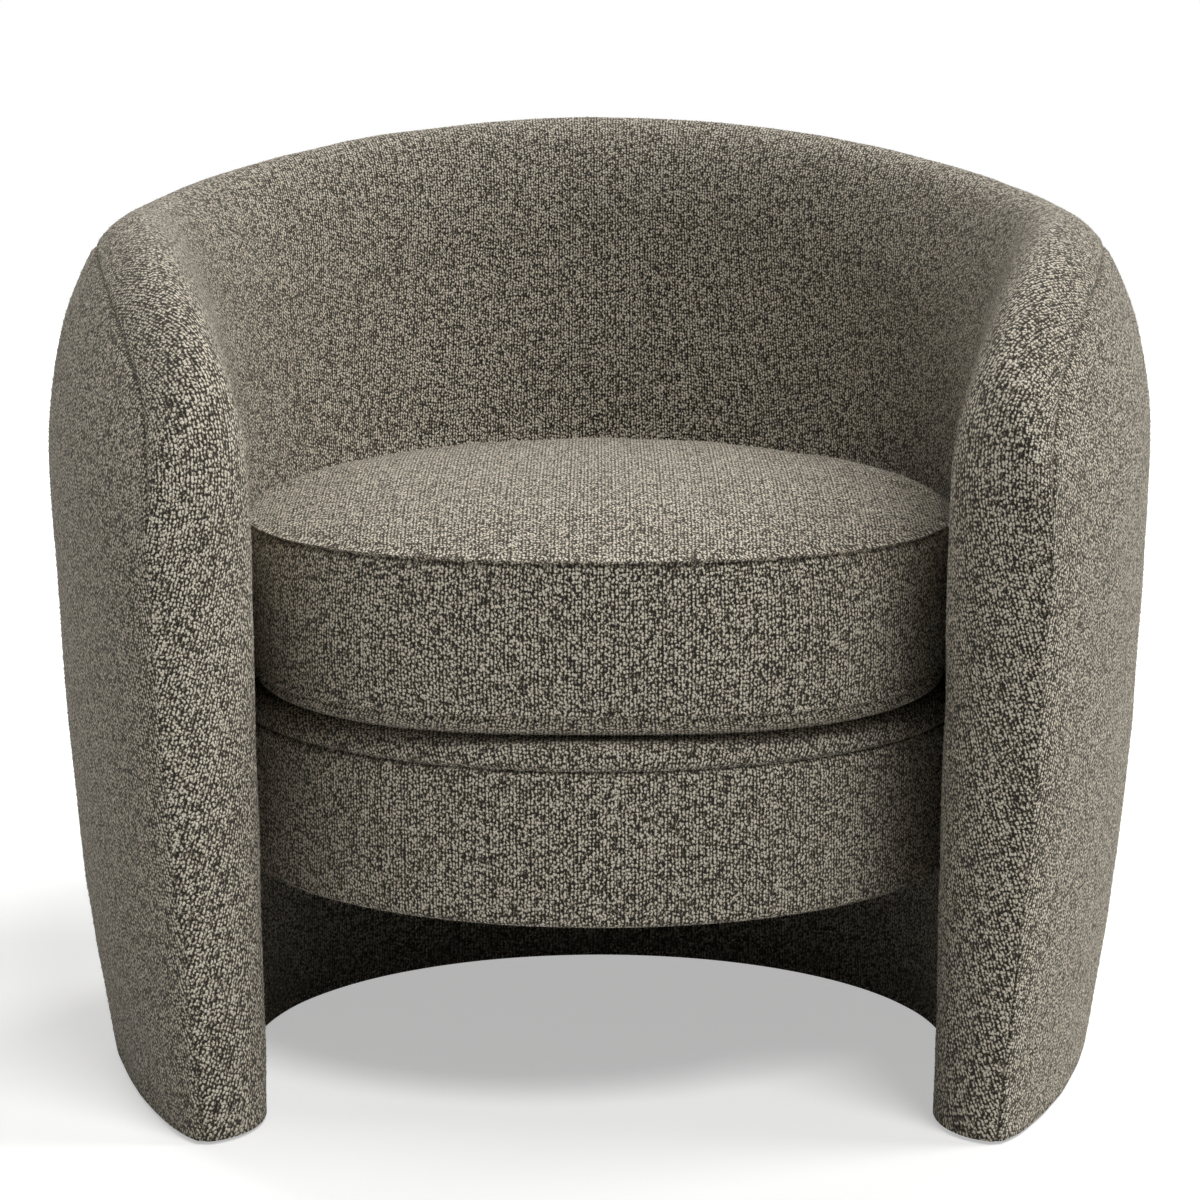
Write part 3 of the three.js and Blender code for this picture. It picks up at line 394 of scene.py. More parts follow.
def looped_cloth(name):
    """The knit of the covers, from its yarn pattern to its colours and bump."""
    material, tree, output = new_material(name)
    laid = add_node(tree, "ShaderNodeUVMap", {"uv_map": "cloth"})
    wander = add_node(tree, "ShaderNodeTexNoise", {"noise_dimensions": "2D"}, {
        "Vector": (laid, "UV"), "Scale": STRAY_SCALE, "Detail": 1.0})
    centred = add_node(tree, "ShaderNodeVectorMath", {"operation": "SUBTRACT"}, {
        0: (wander, "Color"), 1: (0.5, 0.5, 0)})
    moved = add_node(tree, "ShaderNodeVectorMath", {"operation": "MULTIPLY_ADD"}, {
        0: (centred, "Vector"), 1: (STRAY, STRAY, 0), 2: (laid, "UV")})
    cell = add_node(tree, "ShaderNodeVectorMath", {"operation": "MULTIPLY"}, {
        0: (moved, "Vector"), 1: (1 / COLUMN, 1 / COURSE, 0)})
    parts = add_node(tree, "ShaderNodeSeparateXYZ", inputs={"Vector": (cell, "Vector")})
    column = add_node(tree, "ShaderNodeMath", {"operation": "FLOOR"}, {0: (parts, "X")})
    chance = add_node(tree, "ShaderNodeTexWhiteNoise", {"noise_dimensions": "1D"}, {"W": (column, "Value")})
    raised = add_node(tree, "ShaderNodeMath", {"operation": "ADD"}, {
        0: (parts, "Y"), 1: (chance, "Value")})
    shifted = add_node(tree, "ShaderNodeCombineXYZ", inputs={"X": (parts, "X"), "Y": (raised, "Value")})
    knit, knit_chance = nubs(tree, (shifted, "Vector"), randomness=0.45, size=(1.25, 1.0, 0), reach=0.72)
    sparse = add_node(tree, "ShaderNodeVectorMath", {"operation": "MULTIPLY"}, {
        0: (moved, "Vector"), 1: (1 / LOOP_SPACING[0], 1 / LOOP_SPACING[1], 0)})
    loop, loop_chance = nubs(tree, (sparse, "Vector"), randomness=1.0, size=(1.5, 1.3, 0), reach=0.62)
    present = add_node(tree, "ShaderNodeMapRange", inputs={
        "Value": (loop_chance, "Red"), "From Min": 0.35, "From Max": 0.75})
    loop_height = add_node(tree, "ShaderNodeMath", {"operation": "MULTIPLY"}, {
        0: (loop, "Result"), 1: (present, "Result")})
    knit_size = add_node(tree, "ShaderNodeMapRange", inputs={
        "Value": (knit_chance, "Red"), "To Min": 0.3, "To Max": 0.95})
    knit_height = add_node(tree, "ShaderNodeMath", {"operation": "MULTIPLY"}, {
        0: (knit, "Result"), 1: (knit_size, "Result")})
    highest = add_node(tree, "ShaderNodeMath", {"operation": "MAXIMUM"}, {
        0: (knit_height, "Value"), 1: (loop_height, "Value")})
    curl = add_node(tree, "ShaderNodeTexNoise", {"noise_dimensions": "2D"}, {
        "Vector": (laid, "UV"), "Scale": CURL_SCALE, "Detail": 2.0, "Roughness": 0.8})
    curled = add_node(tree, "ShaderNodeMath", {"operation": "MULTIPLY_ADD"}, {
        0: (curl, "Fac"), 1: 0.85, 2: (highest, "Value")})
    patch = add_node(tree, "ShaderNodeTexNoise", {"noise_dimensions": "2D"}, {
        "Vector": (laid, "UV"), "Scale": PATCH_SCALE, "Detail": 3.0})
    shade = add_node(tree, "ShaderNodeMath", {"operation": "MULTIPLY_ADD"}, {
        0: (patch, "Fac"), 1: 0.4, 2: (curled, "Value")})
    tone = add_node(tree, "ShaderNodeMapRange", inputs={
        "Value": (shade, "Value"), "From Min": 0.70, "From Max": 1.26})
    # Along seams the tone is darkened: partly loops pressed down, partly painted shade in the seam's
    # groove.
    sewn = add_node(tree, "ShaderNodeAttribute", {"attribute_name": "sewn"})
    pressed_and_shaded_tone = add_node(tree, "ShaderNodeMapRange", inputs={
        "Value": (sewn, "Fac"), "To Min": 1.0, "To Max": 0.25})
    tone = add_node(tree, "ShaderNodeMath", {"operation": "MULTIPLY"}, {
        0: (tone, "Result"), 1: (pressed_and_shaded_tone, "Result")})
    ramp = add_node(tree, "ShaderNodeValToRGB", inputs={"Fac": (tone, "Value")}, stops=YARNS)
    bump = add_node(tree, "ShaderNodeBump", inputs={
        "Height": (curled, "Value"), "Strength": 1.0, "Distance": NUB_BUMP})
    shader = add_node(tree, "ShaderNodeBsdfPrincipled", inputs={
        "Base Color": (ramp, "Color"), "Roughness": 0.95, "Normal": (bump, "Normal"),
        "Sheen Weight": 0.3, "Sheen Roughness": 0.6, "Sheen Tint": to_linear("#d8cfc0"),
        "Specular IOR Level": 0.25})
    tree.links.new(shader.outputs["BSDF"], output.inputs["Surface"])
    return material


looped_knit = looped_cloth("looped_knit_cloth")
print("cloth:", len(looped_knit.node_tree.nodes), "nodes,", COLUMN * 1000, "mm columns")


# %% [markdown]
# ### Padding, lining and zip cloth
# These stay hidden in use. Cut foam shows small open cells in a dull cream, wadding is a soft white
# mass of fibres, and the black lining is fibre pressed with a fine dotted roller, so it looks grainy
# and has no gloss. The zip's tape is a dark twill whose ribs catch a little light.

# %% Padding and lining
def padding(name, codes, cell, bump_depth, stretch=(1, 1, 1), roughness=0.95):
    """Matt cells or tufts of fibre in two shades; the cell's size and depth are in metres."""
    material, tree, output = new_material(name)
    place = add_node(tree, "ShaderNodeTexCoord")
    turned = add_node(tree, "ShaderNodeMapping", inputs={"Vector": (place, "Object"), "Scale": stretch})
    cells = add_node(tree, "ShaderNodeTexVoronoi", inputs={"Vector": (turned, "Vector"), "Scale": 1 / cell})
    cloud = add_node(tree, "ShaderNodeTexNoise", inputs={
        "Vector": (turned, "Vector"), "Scale": 0.25 / cell, "Detail": 5.0})
    both = add_node(tree, "ShaderNodeMath", {"operation": "MULTIPLY"}, {
        0: (cells, "Distance"), 1: (cloud, "Fac")})
    ramp = add_node(tree, "ShaderNodeValToRGB", inputs={"Fac": (both, "Value")}, stops=[
        (0.05, codes[0]), (0.5, codes[1])])
    bump = add_node(tree, "ShaderNodeBump", inputs={
        "Height": (both, "Value"), "Strength": 0.5, "Distance": bump_depth})
    shader = add_node(tree, "ShaderNodeBsdfPrincipled", inputs={
        "Base Color": (ramp, "Color"), "Roughness": roughness, "Normal": (bump, "Normal"),
        "Specular IOR Level": 0.2})
    tree.links.new(shader.outputs["BSDF"], output.inputs["Surface"])
    return material


# Foam cells are about 0.5 mm across; they are drawn at 1.2 mm so that they show.
cut_foam = padding("cut_polyurethane_foam", ("#b9ad84", "#e2d8b4"), 0.0012, 0.0006)
fibre_wadding = padding("polyester_wadding", ("#cfccc4", "#f0eee8"), 0.004, 0.0012, (1, 1, 0.35))
# The pressed dots of the lining are about 0.6 mm apart and are drawn at 1.5 mm.
black_lining = padding("black_non_woven_lining", ("#0d0d0d", "#262625"), 0.0015, 0.0003)


def woven_tape(name):
    """Zip tape: a fine twill, drawn at 0.8 mm a thread so that it shows."""
    material, tree, output = new_material(name)
    laid = add_node(tree, "ShaderNodeUVMap", {"uv_map": "cloth"})
    turned = add_node(tree, "ShaderNodeMapping", inputs={"Vector": (laid, "UV"), "Rotation": (0, 0, 0.8)})
    twill = add_node(tree, "ShaderNodeTexWave", inputs={
        "Vector": (turned, "Vector"), "Scale": 200.0, "Distortion": 0.4, "Detail": 1.0})
    ramp = add_node(tree, "ShaderNodeValToRGB", inputs={"Fac": (twill, "Fac")}, stops=[
        (0.0, "#15130f"), (1.0, "#3b362d")])
    bump = add_node(tree, "ShaderNodeBump", inputs={
        "Height": (twill, "Fac"), "Strength": 0.6, "Distance": 0.0003})
    shader = add_node(tree, "ShaderNodeBsdfPrincipled", inputs={
        "Base Color": (ramp, "Color"), "Roughness": 0.85, "Normal": (bump, "Normal"), "Sheen Weight": 0.2})
    tree.links.new(shader.outputs["BSDF"], output.inputs["Surface"])
    return material


tape_cloth = woven_tape("woven_zip_tape")

# %% [markdown]
# ### Wood, board and metal of the frame
# Birch plywood shows a pale face with fine grain, and dark and light plies on its cut edge. The plies
# are stacked through the sheet, so each board turns the pattern to its own direction. Fibreboard is
# a dull brown felt of fibres. Spring steel is grey and drawn lengthways, zinc is brighter, and the
# zip's slider has a worn brass colour.

# %% Plywood, softwood and fibreboard
PLY = 0.0014  # metres


def birch_plywood(name, turn=(0, 0, 0)):
    """Plies are stacked along the pattern's z; the grain runs along its x."""
    material, tree, output = new_material(name)
    place = add_node(tree, "ShaderNodeTexCoord")
    turned = add_node(tree, "ShaderNodeMapping", {"vector_type": "TEXTURE"}, {
        "Vector": (place, "Object"), "Rotation": turn})
    parts = add_node(tree, "ShaderNodeSeparateXYZ", inputs={"Vector": (turned, "Vector")})
    stacked = add_node(tree, "ShaderNodeMath", {"operation": "PINGPONG"}, {0: (parts, "Z"), 1: PLY})
    dark_ply = add_node(tree, "ShaderNodeMapRange", inputs={
        "Value": (stacked, "Value"), "From Min": 0.35 * PLY, "From Max": 0.5 * PLY})
    long_grain = add_node(tree, "ShaderNodeMapping", inputs={
        "Vector": (turned, "Vector"), "Scale": (14.0, 160.0, 160.0)})
    grain = add_node(tree, "ShaderNodeTexNoise", inputs={
        "Vector": (long_grain, "Vector"), "Scale": 1.0, "Detail": 6.0, "Distortion": 0.6})
    face = add_node(tree, "ShaderNodeValToRGB", inputs={"Fac": (grain, "Fac")}, stops=[
        (0.3, "#b98f5c"), (0.52, "#d9b889"), (0.75, "#e8cfa6")])
    edge = add_node(tree, "ShaderNodeValToRGB", inputs={"Fac": (grain, "Fac")}, stops=[
        (0.3, "#8a6238"), (0.75, "#b48a58")])
    mixed = add_node(tree, "ShaderNodeMix", {"data_type": "RGBA"}, {
        "Factor": (dark_ply, "Result"), 6: (face, "Color"), 7: (edge, "Color")})
    bump = add_node(tree, "ShaderNodeBump", inputs={
        "Height": (grain, "Fac"), "Strength": 0.3, "Distance": 0.0003})
    shader = add_node(tree, "ShaderNodeBsdfPrincipled", inputs={
        "Base Color": (mixed, 2), "Roughness": 0.62, "Normal": (bump, "Normal")})
    tree.links.new(shader.outputs["BSDF"], output.inputs["Surface"])
    return material


def planed_pine(name):
    """Posts are sawn from softwood: its growth rings run up the post as light and dark stripes."""
    material, tree, output = new_material(name)
    place = add_node(tree, "ShaderNodeTexCoord")
    turned = add_node(tree, "ShaderNodeMapping", inputs={
        "Vector": (place, "Object"), "Scale": (1, 1, 0.06)})
    rings = add_node(tree, "ShaderNodeTexWave", {"wave_type": "RINGS"}, {
        "Vector": (turned, "Vector"), "Scale": 95.0, "Distortion": 3.0, "Detail": 3.0, "Detail Scale": 1.4})
    ramp = add_node(tree, "ShaderNodeValToRGB", inputs={"Fac": (rings, "Fac")}, stops=[
        (0.0, "#a9743f"), (0.45, "#cf9f66"), (1.0, "#e3bf8c")])
    bump = add_node(tree, "ShaderNodeBump", inputs={
        "Height": (rings, "Fac"), "Strength": 0.25, "Distance": 0.0004})
    shader = add_node(tree, "ShaderNodeBsdfPrincipled", inputs={
        "Base Color": (ramp, "Color"), "Roughness": 0.6, "Normal": (bump, "Normal")})
    tree.links.new(shader.outputs["BSDF"], output.inputs["Surface"])
    return material


fibreboard = padding("pressed_fibreboard", ("#5f4529", "#9a7750"), 0.0022, 0.0002, (1, 1, 0.5), 0.8)
flat_plywood = birch_plywood("birch_plywood")
post_pine = planed_pine("planed_pine")


# %% Metal and plastic
def hard_finish(name, codes, metallic, roughness, scratch):
    """Wire, fittings and moulded plastic: fine marks, their size in metres, break up the reflection."""
    material, tree, output = new_material(name)
    place = add_node(tree, "ShaderNodeTexCoord")
    drawn = add_node(tree, "ShaderNodeMapping", inputs={"Vector": (place, "Object"), "Scale": (1, 0.2, 1)})
    marks = add_node(tree, "ShaderNodeTexNoise", inputs={
        "Vector": (drawn, "Vector"), "Scale": 1 / scratch, "Detail": 4.0})
    ramp = add_node(tree, "ShaderNodeValToRGB", inputs={"Fac": (marks, "Fac")}, stops=[
        (0.3, codes[0]), (0.7, codes[1])])
    rough = add_node(tree, "ShaderNodeMapRange", inputs={
        "Value": (marks, "Fac"), "To Min": roughness - 0.1, "To Max": roughness + 0.12})
    bump = add_node(tree, "ShaderNodeBump", inputs={
        "Height": (marks, "Fac"), "Strength": 0.2, "Distance": 0.0001})
    shader = add_node(tree, "ShaderNodeBsdfPrincipled", inputs={
        "Base Color": (ramp, "Color"), "Metallic": metallic, "Roughness": (rough, "Result"),
        "Normal": (bump, "Normal")})
    tree.links.new(shader.outputs["BSDF"], output.inputs["Surface"])
    return material


spring_steel = hard_finish("drawn_spring_steel", ("#5d5f62", "#8f9296"), 1.0, 0.38, 0.002)
zinc_plate = hard_finish("bright_zinc_plate", ("#a7abac", "#d0d2cf"), 1.0, 0.3, 0.003)
zip_metal = hard_finish("antique_brass_plate", ("#6b5230", "#9c7c4c"), 1.0, 0.32, 0.001)
# Moulded plastic takes the fine spark texture of its mould, about 0.3 mm, drawn at 0.8 mm.
glide_plastic = hard_finish("moulded_black_polypropylene", ("#0f0f0f", "#1d1d1c"), 0.0, 0.5, 0.0008)
coil_plastic = hard_finish("black_polyester_coil", ("#141210", "#2b2722"), 0.0, 0.4, 0.001)
print("materials:", len(bpy.data.materials))

# %% [markdown]
# ## Covers of the wall
# Two covers dress the wall, an inner and an outer one. They meet in a plain seam that climbs the front
# of each arm and then runs round the outside of the rim. At a plain seam both cloths dive into the
# foam, which leaves a narrow valley: the points near an edge are pulled in to make it. A cover is
# cloth 2.2 mm thick, so it is made as a thin closed layer and not as a surface without thickness.

# %% Grid of a wall layer
CLOTH, FOOT = 0.0022, 0.003  # thickness of the cloth, and where it ends above the floor
BACK_PLACES, ARM_PLACES = 64, 64  # columns of a cover on each half of the back, and on each arm
TIP = 0.99999  # a hair before the tip, because at the tip itself the plan curves have no direction
TIP_CROWD, SEAM_CROWD = 0.9, 1.7  # how strongly columns crowd at the tips, and rows at the seam


def place_list(count_back, count_front):
    """Places from the left arm's tip to the right one's, closer together at the tips."""
    back = np.linspace(0, 0.5, count_back + 1)
    front = 0.5 + 0.5 * np.sin(np.linspace(0, np.pi / 2, count_front + 1)[1:]) ** TIP_CROWD
    half = np.concatenate([back, front])
    half[-1] = TIP
    return np.concatenate([-half[:0:-1], half])


def wall_grid(outside, inset=0.0, back=BACK_PLACES, front=ARM_PLACES, low_rows=56, roll_rows=32,
              foot=FOOT, seam=SEAM_TURN):
    """Columns of points from the foot up over the rim to the seam, for one side of the wall."""
    places = place_list(back, front)[:, None]
    turn_start = np.pi if outside else 0.0
    start = roll_point(places, np.full_like(places, turn_start), inset)[..., 2]
    z = mix(foot, start, np.linspace(0, 1, low_rows, endpoint=False)[None, :])
    ix, iy, ox, oy = wall_plan(places + 0 * z, z, inset)
    low = np.stack([ox, oy, z] if outside else [ix, iy, z], -1)
    share = 1 - (1 - np.linspace(0, 1, roll_rows)) ** SEAM_CROWD
    roll = roll_point(places, mix(turn_start, seam, share)[None, :] + 0 * places, inset)
    return np.concatenate([low, roll], 1)


def closed_layer(name, near, far, uvs=None):
    """Solid between two grids of the same size; uvs holds one pair for each grid point."""
    columns, rows = near.shape[:2]
    count = columns * rows
    quads = grid_faces(columns, rows)
    i, j = np.arange(columns - 1), np.arange(rows - 1)
    low, high = i * rows, i * rows + rows - 1
    first, last = j, (columns - 1) * rows + j
    rims = [
        np.stack([low + rows, low, low + count, low + rows + count], -1),
        np.stack([high, high + rows, high + rows + count, high + count], -1),
        np.stack([first, first + 1, first + 1 + count, first + count], -1),
        np.stack([last + 1, last, last + count, last + 1 + count], -1),
    ]
    faces = np.concatenate([quads, quads[:, ::-1] + count, *rims])
    points = np.concatenate([near.reshape(-1, 3), far.reshape(-1, 3)])
    pairs = None
    if uvs is not None:
        flat = uvs.reshape(-1, 2)
        pairs = np.concatenate([flat, flat])[faces].reshape(-1, 2)
    piece = new_piece(name, to_row(points), faces, pairs)
    outward(piece)
    return piece


# %% [markdown]
# ### Cutting the cloth
# A cover is one piece of stretch knit. To lay the knit over it, Blender unwraps the grid as a pattern
# cutter would flatten it; the flat shape is then scaled to real metres and turned until the columns
# of the knit stand upright in the middle of the back.

# %% Flatten a grid into a pattern piece
def uneven(points, size, seed=0.0):
    """Slow waves of a few centimetres that cloth pulled over foam by hand always has."""
    return np.array([noise.noise(Vector(p) / size + Vector((seed, 0, 0))) for p in points])


def flattened(grid):
    """Cloth coordinates in metres for every point of an open grid."""
    columns, rows = grid.shape[:2]
    faces = grid_faces(columns, rows)
    sheet = new_piece("pattern", grid.reshape(-1, 3), faces, np.zeros((faces.size, 2)))
    bpy.ops.object.select_all(action="DESELECT")
    bpy.context.view_layer.objects.active = sheet
    bpy.ops.object.mode_set(mode="EDIT")
    bpy.ops.mesh.select_all(action="SELECT")
    bpy.ops.uv.unwrap(method="CONFORMAL", margin=0.0)
    bpy.ops.object.mode_set(mode="OBJECT")
    flat = np.empty(faces.size * 2)
    sheet.data.uv_layers["cloth"].data.foreach_get("uv", flat)
    place = np.zeros((columns * rows, 2))
    place[faces.ravel()] = flat.reshape(-1, 2)
    place = place.reshape(columns, rows, 2)
    bpy.data.objects.remove(sheet)
    side, up = place[1:, :-1] - place[:-1, :-1], place[:-1, 1:] - place[:-1, :-1]
    real_side, real_up = np.diff(grid, axis=0)[:, :-1], np.diff(grid, axis=1)[:-1]
    turned = np.sum(side[..., 0] * up[..., 1] - side[..., 1] * up[..., 0])
    real = np.linalg.norm(np.cross(real_side, real_up), axis=-1).sum()
    place = place * np.sqrt(real / abs(turned))
    if turned < 0:
        place[..., 0] = -place[..., 0]
    middle = columns // 2
    upright = place[middle, rows // 2] - place[middle, 0]
    angle = np.arctan2(upright[0], upright[1])
    turn = np.array([[np.cos(angle), -np.sin(angle)], [np.sin(angle), np.cos(angle)]])
    return (place - place[middle, 0]) @ turn.T


# %% Make both covers
# From the edge inwards the cloth is darkest at the seam, where painted shade of its valley adds to the
# pressed loops, is tucked in a little further, changes its direction into the foam over a wider
# strip, and is even until its soft waves have their height.
SEAM_PRESS_AND_SHADE_WIDTH, TUCK_WIDTH, DIVE_WIDTH, EVEN_WIDTH = 0.0018, 0.006, 0.012, 0.03
SEAM_PRESS_AND_SHADE, TUCK_DEPTH, WAVE_HEIGHT = 0.6, 0.0024, 0.0011
HEART_DEPTH, HEART_END = 0.045, 0.9  # heart of the wall: so far below the rim, and ending before the tip
# Rows that run in under the foot, where the cloth is stapled: how far in, and how far down.
FOOT_ROWS = ((0.011, 0.0012), (0.004, 0.0012), (0.001, 0.0006))


def into_foam(grid):
    """Direction from a point of the cover to the heart of the wall; both covers share it at a seam."""
    places = place_list(BACK_PLACES, ARM_PLACES)[:, None]
    z = np.minimum(grid[..., 2], rim_height(places) - HEART_DEPTH)
    ix, iy, ox, oy = wall_plan(np.clip(places, -HEART_END, HEART_END) + 0 * z, z)
    way = np.stack([(ix + ox) / 2, (iy + oy) / 2, z], -1) - grid
    return way / np.linalg.norm(way, axis=-1, keepdims=True)


def turned_under(grid, normal):
    """Adds the rows under the foot to a grid."""
    level = normal[:, 0] * np.array([1, 1, 0])
    rows = [grid[:, 0] - level * reach - np.array([0, 0, drop]) for reach, drop in FOOT_ROWS]
    return np.concatenate([np.stack(rows, 1), grid], 1)


def cover(name, outside):
    """One cover of the wall as a closed layer of cloth, with its pattern, its waves and its seam."""
    smooth = wall_grid(outside)
    columns, rows = smooth.shape[:2]
    up, across = arc_lengths(smooth, 1), arc_lengths(smooth, 0)
    across = np.abs(across - across[columns // 2][None, :])
    edge = np.minimum(up[:, -1:] - up, across[-1][None, :] - across)
    normal = grid_normals(smooth) * (-1 if outside else 1)
    cut = flattened(turned_under(smooth, normal))
    share = np.clip(1 - edge / DIVE_WIDTH, 0, 1)[..., None]
    normal = mix(normal, -into_foam(smooth), share)
    normal /= np.linalg.norm(normal, axis=-1, keepdims=True)
    flat = smooth.reshape(-1, 3)
    wave = (uneven(flat, 0.09) + 0.45 * uneven(flat, 0.034, 5.0)).reshape(columns, rows)
    tuck = TUCK_DEPTH * np.clip(1 - edge / TUCK_WIDTH, 0, 1) ** 2
    grid = smooth + normal * (WAVE_HEIGHT * wave * np.clip(edge / EVEN_WIDTH, 0, 1) - tuck)[..., None]
    grid = turned_under(grid, normal)
    # The cloth is a little thinner where it is pressed under the foot and round its corner.
    inward = np.concatenate([np.tile([0, 0, -0.65], (columns, 2, 1)), normal[:, :1] * 0.8, normal], 1)
    piece = closed_layer(name, grid, grid - inward * CLOTH, cut)
    # Darker along the seam: partly loops pressed down, partly painted shade in the seam's valley.
    sewn = np.pad(SEAM_PRESS_AND_SHADE * bell(edge, SEAM_PRESS_AND_SHADE_WIDTH), ((0, 0), (len(FOOT_ROWS), 0)))
    mark_seam_press_and_shade(piece, [sewn, sewn])
    piece["flat_area"] = float(sum(f.area for f in piece.data.polygons) / 2)
    piece["flat_size"] = np.ptp(cut.reshape(-1, 2), 0).tolist()
    piece.data.materials.append(looped_knit)
    print(name, len(piece.data.polygons), "faces,", round(piece["flat_area"], 2), "m2")
    return piece


inner_cover = cover("wall_cover_inside", False)
outer_cover = cover("wall_cover_outside", True)

# %% [markdown]
# ## Padding behind the covers
# Foam and wadding are further layers of the same wall, each a little deeper. The foam is two halves
# that meet behind the middle of the back, as a long bent sheet is cut, and the wadding is one sheet.

# %% Foam halves and wadding
FOAM_FROM, FOAM_TO, WADDING_FROM, WADDING_TO = 0.004, 0.0255, 0.005, 0.0140
PAD_FOOT, PAD_SEAM = 0.0056, 0.03  # where padding starts, and how far in turns its edge is from the seam
HALF_GAP, GAP_EASE = 0.0008, 0.02  # half the gap between the two foam halves, and where it has run out
foam_pieces = []
for side, word in ((-1, "left"), (1, "right")):
    sizes = dict(back=30, front=30, low_rows=20, roll_rows=16, foot=PAD_FOOT, seam=SEAM_TURN - PAD_SEAM)
    near, far = wall_grid(False, FOAM_FROM, **sizes), wall_grid(False, FOAM_TO, **sizes)
    middle = len(near) // 2
    part = slice(0, middle + 1) if side < 0 else slice(middle, None)
    near, far = near[part], far[part]
    for grid in (near, far):
        grid[..., 0] += side * HALF_GAP * np.clip(1 - np.abs(grid[..., 0]) / GAP_EASE, 0, 1)
    foam_pieces.append(closed_layer(f"wall_foam_{word}", near, far))
    foam_pieces[-1].data.materials.append(cut_foam)
sizes = dict(back=30, front=30, low_rows=20, roll_rows=10, foot=PAD_FOOT, seam=SEAM_TURN + PAD_SEAM)
near, far = wall_grid(True, WADDING_FROM, **sizes), wall_grid(True, WADDING_TO, **sizes)
wadding = closed_layer("wall_wadding", near, far)
wadding.data.materials.append(fibre_wadding)
print("padding:", [len(p.data.polygons) for p in (*foam_pieces, wadding)], "faces")

# %% [markdown]
# ## Drum of the seat
# The drum's border is a band of cloth over thin foam and bent board, pulled under the lower ring and
# stapled there. Above its seam lies the deck, which rounds over the edge and meets the wall behind.
# The band is a cross-section carried round an arc, and the deck is a stack of rings.

# %% Sizes of the seat
SEAT_RADIUS = 0.66 * WIDTH / 2
SEAT_CENTRE = 0.0584 * DEPTH + SEAT_RADIUS
ROW_CENTRE = SEAT_CENTRE - DEPTH / 2
DRUM_BOTTOM, DECK_BOTTOM, DRUM_SEAM, DECK_TOP = 0.147, 0.2592, 0.262, 0.283
BORDER_THICK, DRUM_EDGE, DECK_EDGE, DRUM_TURN = 0.0145, 0.006, 0.018, 0.030
WALL_CLEAR = 0.0012  # between the drum and the wall beside it
DRUM_HALF_TURN = math.radians(76)  # how far the band reaches round to each side
SEAT_COLUMNS, CUSHION_COLUMNS = 240, 480
CUSHION_GAP, CUSHION_BOTTOM = 0.005, DECK_TOP + 0.0004
LOW_SEAM, TOP_SEAM, CROWN_TOP, BULGE = 0.303, 0.415, 0.449, 0.004
LOW_PANEL, TOP_PANEL = 2.0, -1.0  # where the two round panels are laid on the cloth, clear of the band


def wall_ray(turn, z):
    """Distance from the seat's centre to the inner wall behind it."""
    widest = inner_widest(z)
    half, deep, offset = inner_half(z), inner_back(z) - widest, SEAT_CENTRE - widest
    a = (np.cos(turn) / half) ** 2 + (np.sin(turn) / deep) ** 2
    b = offset * np.sin(turn) / deep ** 2
    return (-b + np.sqrt(b * b - a * ((offset / deep) ** 2 - 1))) / a


def drum_reach(turn, z, clear=WALL_CLEAR):
    """The drum is round in front and follows the wall where it meets it."""
    return np.minimum(SEAT_RADIUS, np.where(np.sin(turn) > -0.3, wall_ray(turn, z) - clear, 1.0))


def ring_body(name, rings, low_pole, top_pole, low_row=0, top_row=0):
    """Closed body of rings that are stored angle by angle, with a pole at each end.

    Faces up to low_row are a flat panel laid from the low pole, faces from top_row on one laid from
    the top pole, and those between are a band of cloth laid round.
    """
    columns, rows = rings.shape[:2]
    count = columns * rows
    points = np.concatenate([rings.reshape(-1, 3), [low_pole, top_pole]])
    turn = np.linspace(0, 2 * np.pi, columns, endpoint=False)
    way = np.stack([np.cos(turn), np.sin(turn)], -1)[:, None]
    up = arc_lengths(np.concatenate([np.tile(low_pole, (columns, 1, 1)), rings], 1), 1)[:, 1:, None]
    down = arc_lengths(np.concatenate([rings, np.tile(top_pole, (columns, 1, 1))], 1), 1)
    down = (down[:, -1:] - down)[:, :-1, None]
    panels = (way * up).reshape(-1, 2) + LOW_PANEL, (way * down).reshape(-1, 2) + TOP_PANEL
    faces, pairs = [], []
    for i in range(columns):
        n = (i + 1) % columns
        for j in range(rows - 1):
            face = [i * rows + j, n * rows + j, n * rows + j + 1, i * rows + j + 1]
            faces.append(face)
            if low_row <= j < top_row:
                left, right = turn[i] * SEAT_RADIUS, (turn[i] + 2 * np.pi / columns) * SEAT_RADIUS
                low, high = down[i, j, 0], down[i, j + 1, 0]
                pairs += [(left, -low), (right, -low), (right, -high), (left, -high)]
            else:
                pairs += panels[0 if j < low_row else 1][face].tolist()
        faces.append([n * rows, i * rows, count])
        pairs += [panels[0][n * rows], panels[0][i * rows], (LOW_PANEL, LOW_PANEL)]
        faces.append([i * rows + rows - 1, n * rows + rows - 1, count + 1])
        pairs += [panels[1][i * rows + rows - 1], panels[1][n * rows + rows - 1], (TOP_PANEL, TOP_PANEL)]
    piece = new_piece(name, to_row(points), faces, np.array([tuple(p) for p in pairs]))
    outward(piece)
    return piece


